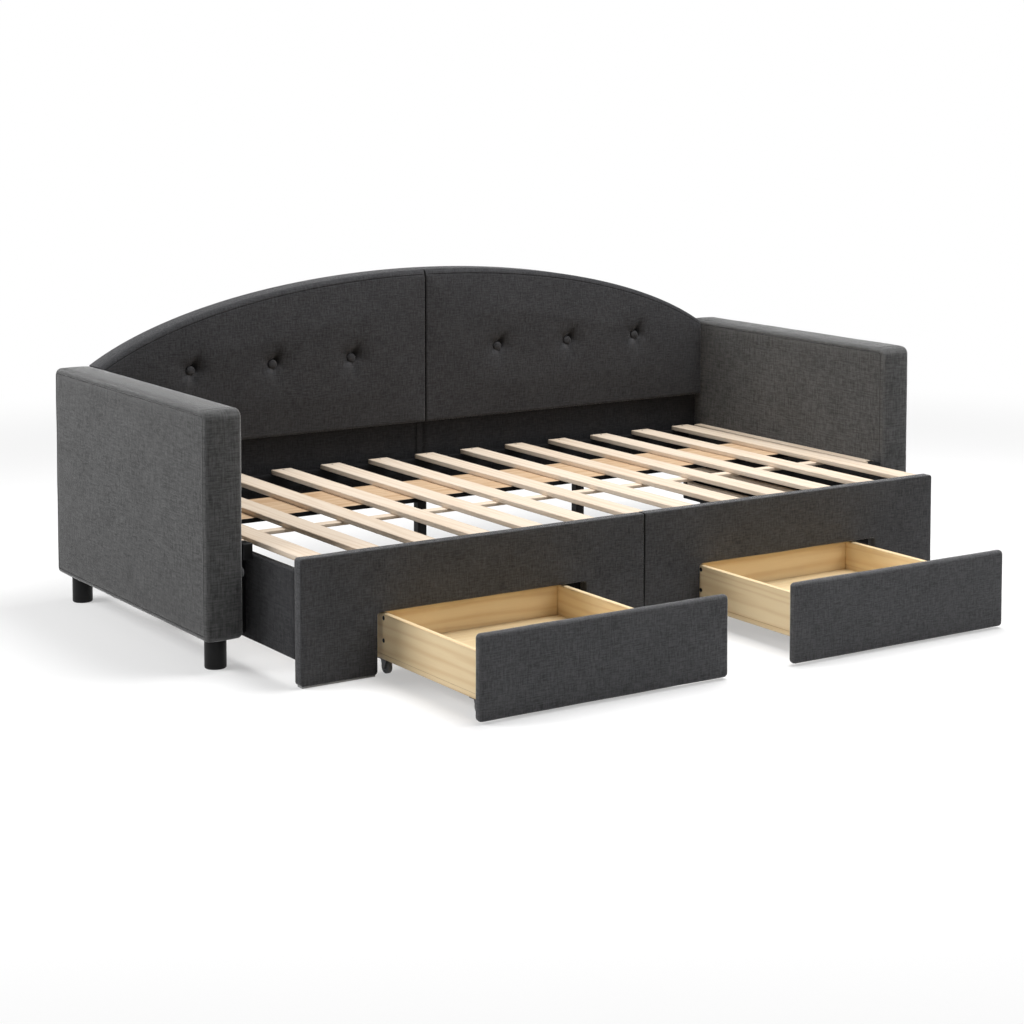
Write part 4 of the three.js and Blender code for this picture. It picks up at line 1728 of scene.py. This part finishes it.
@dataclass
class Deck:
    """The slats on their rails, the board under their middle and its two legs."""

    finishes: Finishes
    slat_count: int = 13
    slat_half: float = 0.030
    first_slat: float = -0.888
    slat_pitch: float = 0.148
    slat_low: float = 0.275
    batten_depth: float = 0.030
    batten_place: float = 0.165 - ROW_TO_ARMS
    batten_low: float = 0.267
    leg_half: float = 0.0125
    screw_inset: float = 0.014
    screw_radius: float = 0.0030
    screw_steps: int = 20
    screw_head: Outline = ((0.0, -0.0010), (1.0, -0.0010), (1.0, -0.0001), (0.9, 0.0003), (0.42, 0.0002),
                           (0.35, -0.0006), (0.0, -0.0008))
    band_inset: float = 0.001
    band_thickness: float = 0.0012
    band_drop: float = 0.0005
    band_easing: Easing = Easing(Rounding(0.0003, 1), 0.001)

    def build(self) -> None:
        """Makes the deck's pieces."""
        low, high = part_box("slat_set")
        for number in range(self.slat_count):
            self._slat(f"{number + 1:02d}", self.first_slat + number * self.slat_pitch, low, high)
        half = self.batten_depth / 2
        batten = plank((low.x + self.slat_half, high.x - self.slat_half),
                       (self.batten_place - half, self.batten_place + half), (self.batten_low, self.slat_low))
        make_piece("slat_batten", batten, self.finishes.cross_pine, Role(BASE, Slot.SLAT, ("slat_set",)))
        plain_board("deck_rail_front", self.finishes.cross_pine, Slot.SLAT)
        plain_board("deck_rail_rear", self.finishes.lining, Slot.SHADE)
        plain_board("middle_board", self.finishes.board_pine, Slot.SLAT)
        self._board_edge()
        for hand in Hand:
            plain_board(f"edge_strip_{hand.word}", self.finishes.slat_pine, Slot.SLAT)
            self._leg(f"centre_leg_{hand.word}")

    def _slat(self, number: str, middle: float, low: Vector, high: Vector) -> None:
        """Makes one slat and the countersunk screw at its rear end.

        Args:
            number: The slat's number, counted from the left.
            middle: Where the slat's middle lies.
            low: The lowest corner of the slats together.
            high: Their highest corner.
        """
        slat = plank((middle - self.slat_half, middle + self.slat_half), (low.y, high.y),
                     (self.slat_low, high.z), SOFT_TIMBER)
        make_piece(f"slat_{number}", slat, self.finishes.slat_pine, Role(BASE, Slot.SLAT, ("slat_set",)))
        place = Vector((middle, high.y - self.screw_inset, high.z))
        screw = turned(scaled(self.screw_head, self.screw_radius), Axis.Z, place, self.screw_steps)
        make_piece(f"slat_screw_{number}", screw, self.finishes.steel, Role(BASE, Slot.STEEL))

    def _leg(self, node: str) -> None:
        """Makes one slim square leg under the middle board.

        Args:
            node: The leg's CAD node.
        """
        low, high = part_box(node)
        middle = (low + high) / 2
        leg = plank((middle.x - self.leg_half, middle.x + self.leg_half),
                    (middle.y - self.leg_half, middle.y + self.leg_half), (low.z, high.z), SOFT_TIMBER)
        make_piece(node + "_post", leg, self.finishes.black, Role(BASE, Slot.LEG, (node,)))

    def _board_edge(self) -> None:
        """Makes the black band along the middle board's front edge."""
        low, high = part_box("middle_board")
        band = plank((low.x + self.band_inset, high.x - self.band_inset),
                     (low.y - self.band_thickness, low.y),
                     (low.z + self.band_drop, high.z - self.band_drop), self.band_easing)
        make_piece("middle_board_band", band, self.finishes.lining, Role(BASE, Slot.LEG))


# --- drawers


@dataclass
class Drawers:
    """The two drawers: upholstered fronts, pine boxes with their screws, and four castors each."""

    finishes: Finishes
    front_edge: Rounding = Rounding(0.0078, 4)
    front_corner: Rounding = Rounding(0.010, 4)
    grid: float = 0.026
    grid_margin: float = 0.017
    crown: float = 0.0010
    flatness: float = 8.0
    unevenness: float = 0.0008
    waves: float = 8.0
    seed_share: float = 3.0
    groove_height: float = 0.012
    groove_depth: float = 0.0010
    groove_width: float = 0.0008
    front_screws: tuple[float, Span] = (0.010, (0.098, 0.013))
    rear_screws: tuple[float, Span] = (0.037, (0.095, 0.044))
    screw_radius: float = 0.0054
    screw_steps: int = 20
    screw_head: Outline = ((0.0, 0.0013), (0.45, 0.0012), (0.80, 0.0008), (0.96, 0.0002), (1.0, -0.0004),
                           (1.0, -0.0010), (0.0, -0.0010))
    wheel_steps: int = 40
    wheel_bore: float = 0.0029
    wheel_side: Outline = ((0.34, 0.0), (0.38, 0.0012), (0.66, 0.0014), (0.72, 0.0002), (0.90, 0.0004),
                           (0.98, 0.0018), (1.0, 0.0038))

    def build(self) -> None:
        """Makes both drawers."""
        for hand in Hand:
            body = f"drawer_{hand.word}"
            self._front(body)
            for side in Hand:
                self._side(body, side)
            plain_board(body + "_back", self.finishes.drawer_pine_wide, Slot.DRAWER, body)
            plain_board(body + "_bottom", self.finishes.ply, Slot.DRAWER, body, THIN)
            for end in ("front", "rear"):
                for side in Hand:
                    self._castor(f"{hand.word}_drawer_{end}_{side.word}")

    def _front(self, body: str) -> None:
        """Makes one upholstered drawer front.

        Args:
            body: The drawer's body.
        """
        node = body + "_front"
        low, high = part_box(node)
        shape = block(low, high)
        round_edges(shape, edges_along(shape, Axis.Y, lambda mid: True), self.front_corner)
        round_edges(shape, sharp_edges(shape), self.front_edge)
        cut_grid(shape, (Axis.X, Axis.Z), self.grid_margin, self.grid)
        mark_turns(shape)
        swell(shape, Axis.Y, self.crown, self.flatness)
        roughen(shape, self.unevenness, self.waves, low.x * self.seed_share)
        make_piece(node + "_cover", shape, self.finishes.cloth, Role(body, Slot.CLOTH, (node,)))

    def _side(self, body: str, side: Hand) -> None:
        """Makes one side board of a drawer, with its groove line and screws.

        Args:
            body: The drawer's body.
            side: Which of the drawer's sides.
        """
        node = f"{body}_side_{side.word}"
        low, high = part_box(node)
        outer = side.outer(low, high)
        shape = eased_board(low, high, SOFT_TIMBER)
        press_line(shape, Axis.Z, low.z + self.groove_height, lambda point: abs(point.x - outer) < HAIR,
                   self.groove_depth, self.groove_width)
        make_piece(node + "_board", shape, self.finishes.drawer_pine_deep, Role(body, Slot.DRAWER, (node,)))
        rows = ((low.y + self.front_screws[0], self.front_screws[1]),
                (high.y - self.rear_screws[0], self.rear_screws[1]))
        head = scaled(self.screw_head, self.screw_radius, side.value)
        screws = [turned(head, Axis.X, Vector((outer, along, low.z + up)), self.screw_steps)
                  for along, heights in rows for up in heights]
        make_piece(node + "_screws", joined(screws), self.finishes.black, Role(body, Slot.STEEL))

    def _castor(self, place: str) -> None:
        """Dresses a castor's bracket, whose shape is right, and makes its wheel with a tyre and a hub.

        Args:
            place: The castor's place in the names of its nodes.
        """
        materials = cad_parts[f"castor_bracket_{place}"].data.materials
        materials.clear()
        materials.append(self.finishes.steel)
        node = f"castor_wheel_{place}"
        low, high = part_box(node)
        half, radius = (high.x - low.x) / 2, (high.z - low.z) / 2
        side = [(radius * share, inset - half) for share, inset in self.wheel_side]
        side.insert(0, (self.wheel_bore, -half))
        outline = side + [(across, -along) for across, along in reversed(side)]
        wheel = turned(outline, Axis.X, (low + high) / 2, self.wheel_steps, ring=True)
        make_piece(node + "_turned", wheel, self.finishes.tyre, Role(f"wheel_{place}", Slot.TYRE, (node,)))


# --- studio


@dataclass(frozen=True)
class SoftLight:
    """One square soft light: where it hangs, what it looks at, its size in metres and its power in watts."""

    name: str
    place: tuple[float, float, float]
    target: tuple[float, float, float]
    size: float
    power: float

    def hang(self) -> None:
        """Makes the light."""
        data = bpy.data.lights.new(self.name, "AREA")
        data.size = self.size
        data.energy = self.power
        light = bpy.data.objects.new(self.name, data)
        light.location = self.place
        light.rotation_euler = (Vector(self.target) - Vector(self.place)).to_track_quat("-Z", "Y").to_euler()
        bpy.context.scene.collection.objects.link(light)


@dataclass
class Studio:
    """The pale floor, the soft lights and the camera at the photograph's angle."""

    eye: tuple[float, float, float] = (-3.296, -4.809, 1.399)
    turn: float = 33.33
    tilt: float = 4.03
    focal_pixels: float = 2336.0
    image_pixels: float = 1024.0
    centre_across: float = 524.0
    centre_down: float = 216.0
    sensor: float = 36.0
    furthest: float = 100.0
    floor_half: float = 14.0
    world_light: float = 0.16
    lights: tuple[SoftLight, ...] = (
        SoftLight("key", (-3.6, 1.5, 2.3), (-0.6, -0.2, 0.3), 2.0, 110.0),
        SoftLight("top", (0.9, -0.25, 3.8), (0.0, 0.0, 0.0), 2.4, 175.0),
        SoftLight("fill", (2.2, -3.4, 2.8), (0.3, -0.2, 0.2), 2.4, 39.0))

    def build(self) -> None:
        """Makes the camera, the floor, the world and the lights."""
        self._camera()
        self._floor()
        self._world()
        for light in self.lights:
            light.hang()
        bpy.context.scene.view_settings.view_transform = "Standard"

    def _camera(self) -> None:
        """Makes the camera."""
        data = bpy.data.cameras.new("camera")
        data.sensor_width = self.sensor
        data.lens = self.focal_pixels / self.image_pixels * self.sensor
        data.shift_x = (self.image_pixels / 2 - self.centre_across) / self.image_pixels
        data.shift_y = (self.centre_down - self.image_pixels / 2) / self.image_pixels
        data.clip_end = self.furthest
        camera = bpy.data.objects.new("camera", data)
        camera.location = self.eye
        camera.rotation_euler = (math.radians(90 - self.tilt), 0.0, math.radians(-self.turn))
        bpy.context.scene.collection.objects.link(camera)
        bpy.context.scene.camera = camera

    def _floor(self) -> None:
        """Makes the floor."""
        shape = bmesh.new()
        bmesh.ops.create_grid(shape, x_segments=2, y_segments=2, size=self.floor_half)
        floor = as_object("studio_floor", shape, StudioWhite().build())

    def _world(self) -> None:
        """Makes the world: white to the camera, also through glass, and soft grey light on the object."""
        world = bpy.data.worlds.new("studio")
        bpy.context.scene.world = world
        recipe = Recipe(world, "ShaderNodeOutputWorld")
        lit, shown = (recipe.node("ShaderNodeBackground", None, {"Color": WHITE, "Strength": strength})
                      for strength in (self.world_light, 1.0))
        seen = recipe.seen_by("Is Camera Ray", "Is Transmission Ray")
        recipe.surface(recipe.blend(seen, lit, shown))



def main() -> None:
    """Builds the studio, then the daybed's pieces in order."""
    logging.basicConfig(level=logging.INFO, format="%(name)s %(message)s", stream=sys.stdout)
    finishes = Finishes.mix()
    Studio().build()
    for part in (Arms, BackBoards, BackPads, Base, Deck, Drawers):
        part(finishes).build()
        LOG.info("%s done", part.__name__)


if __name__ == "__main__":
    main()
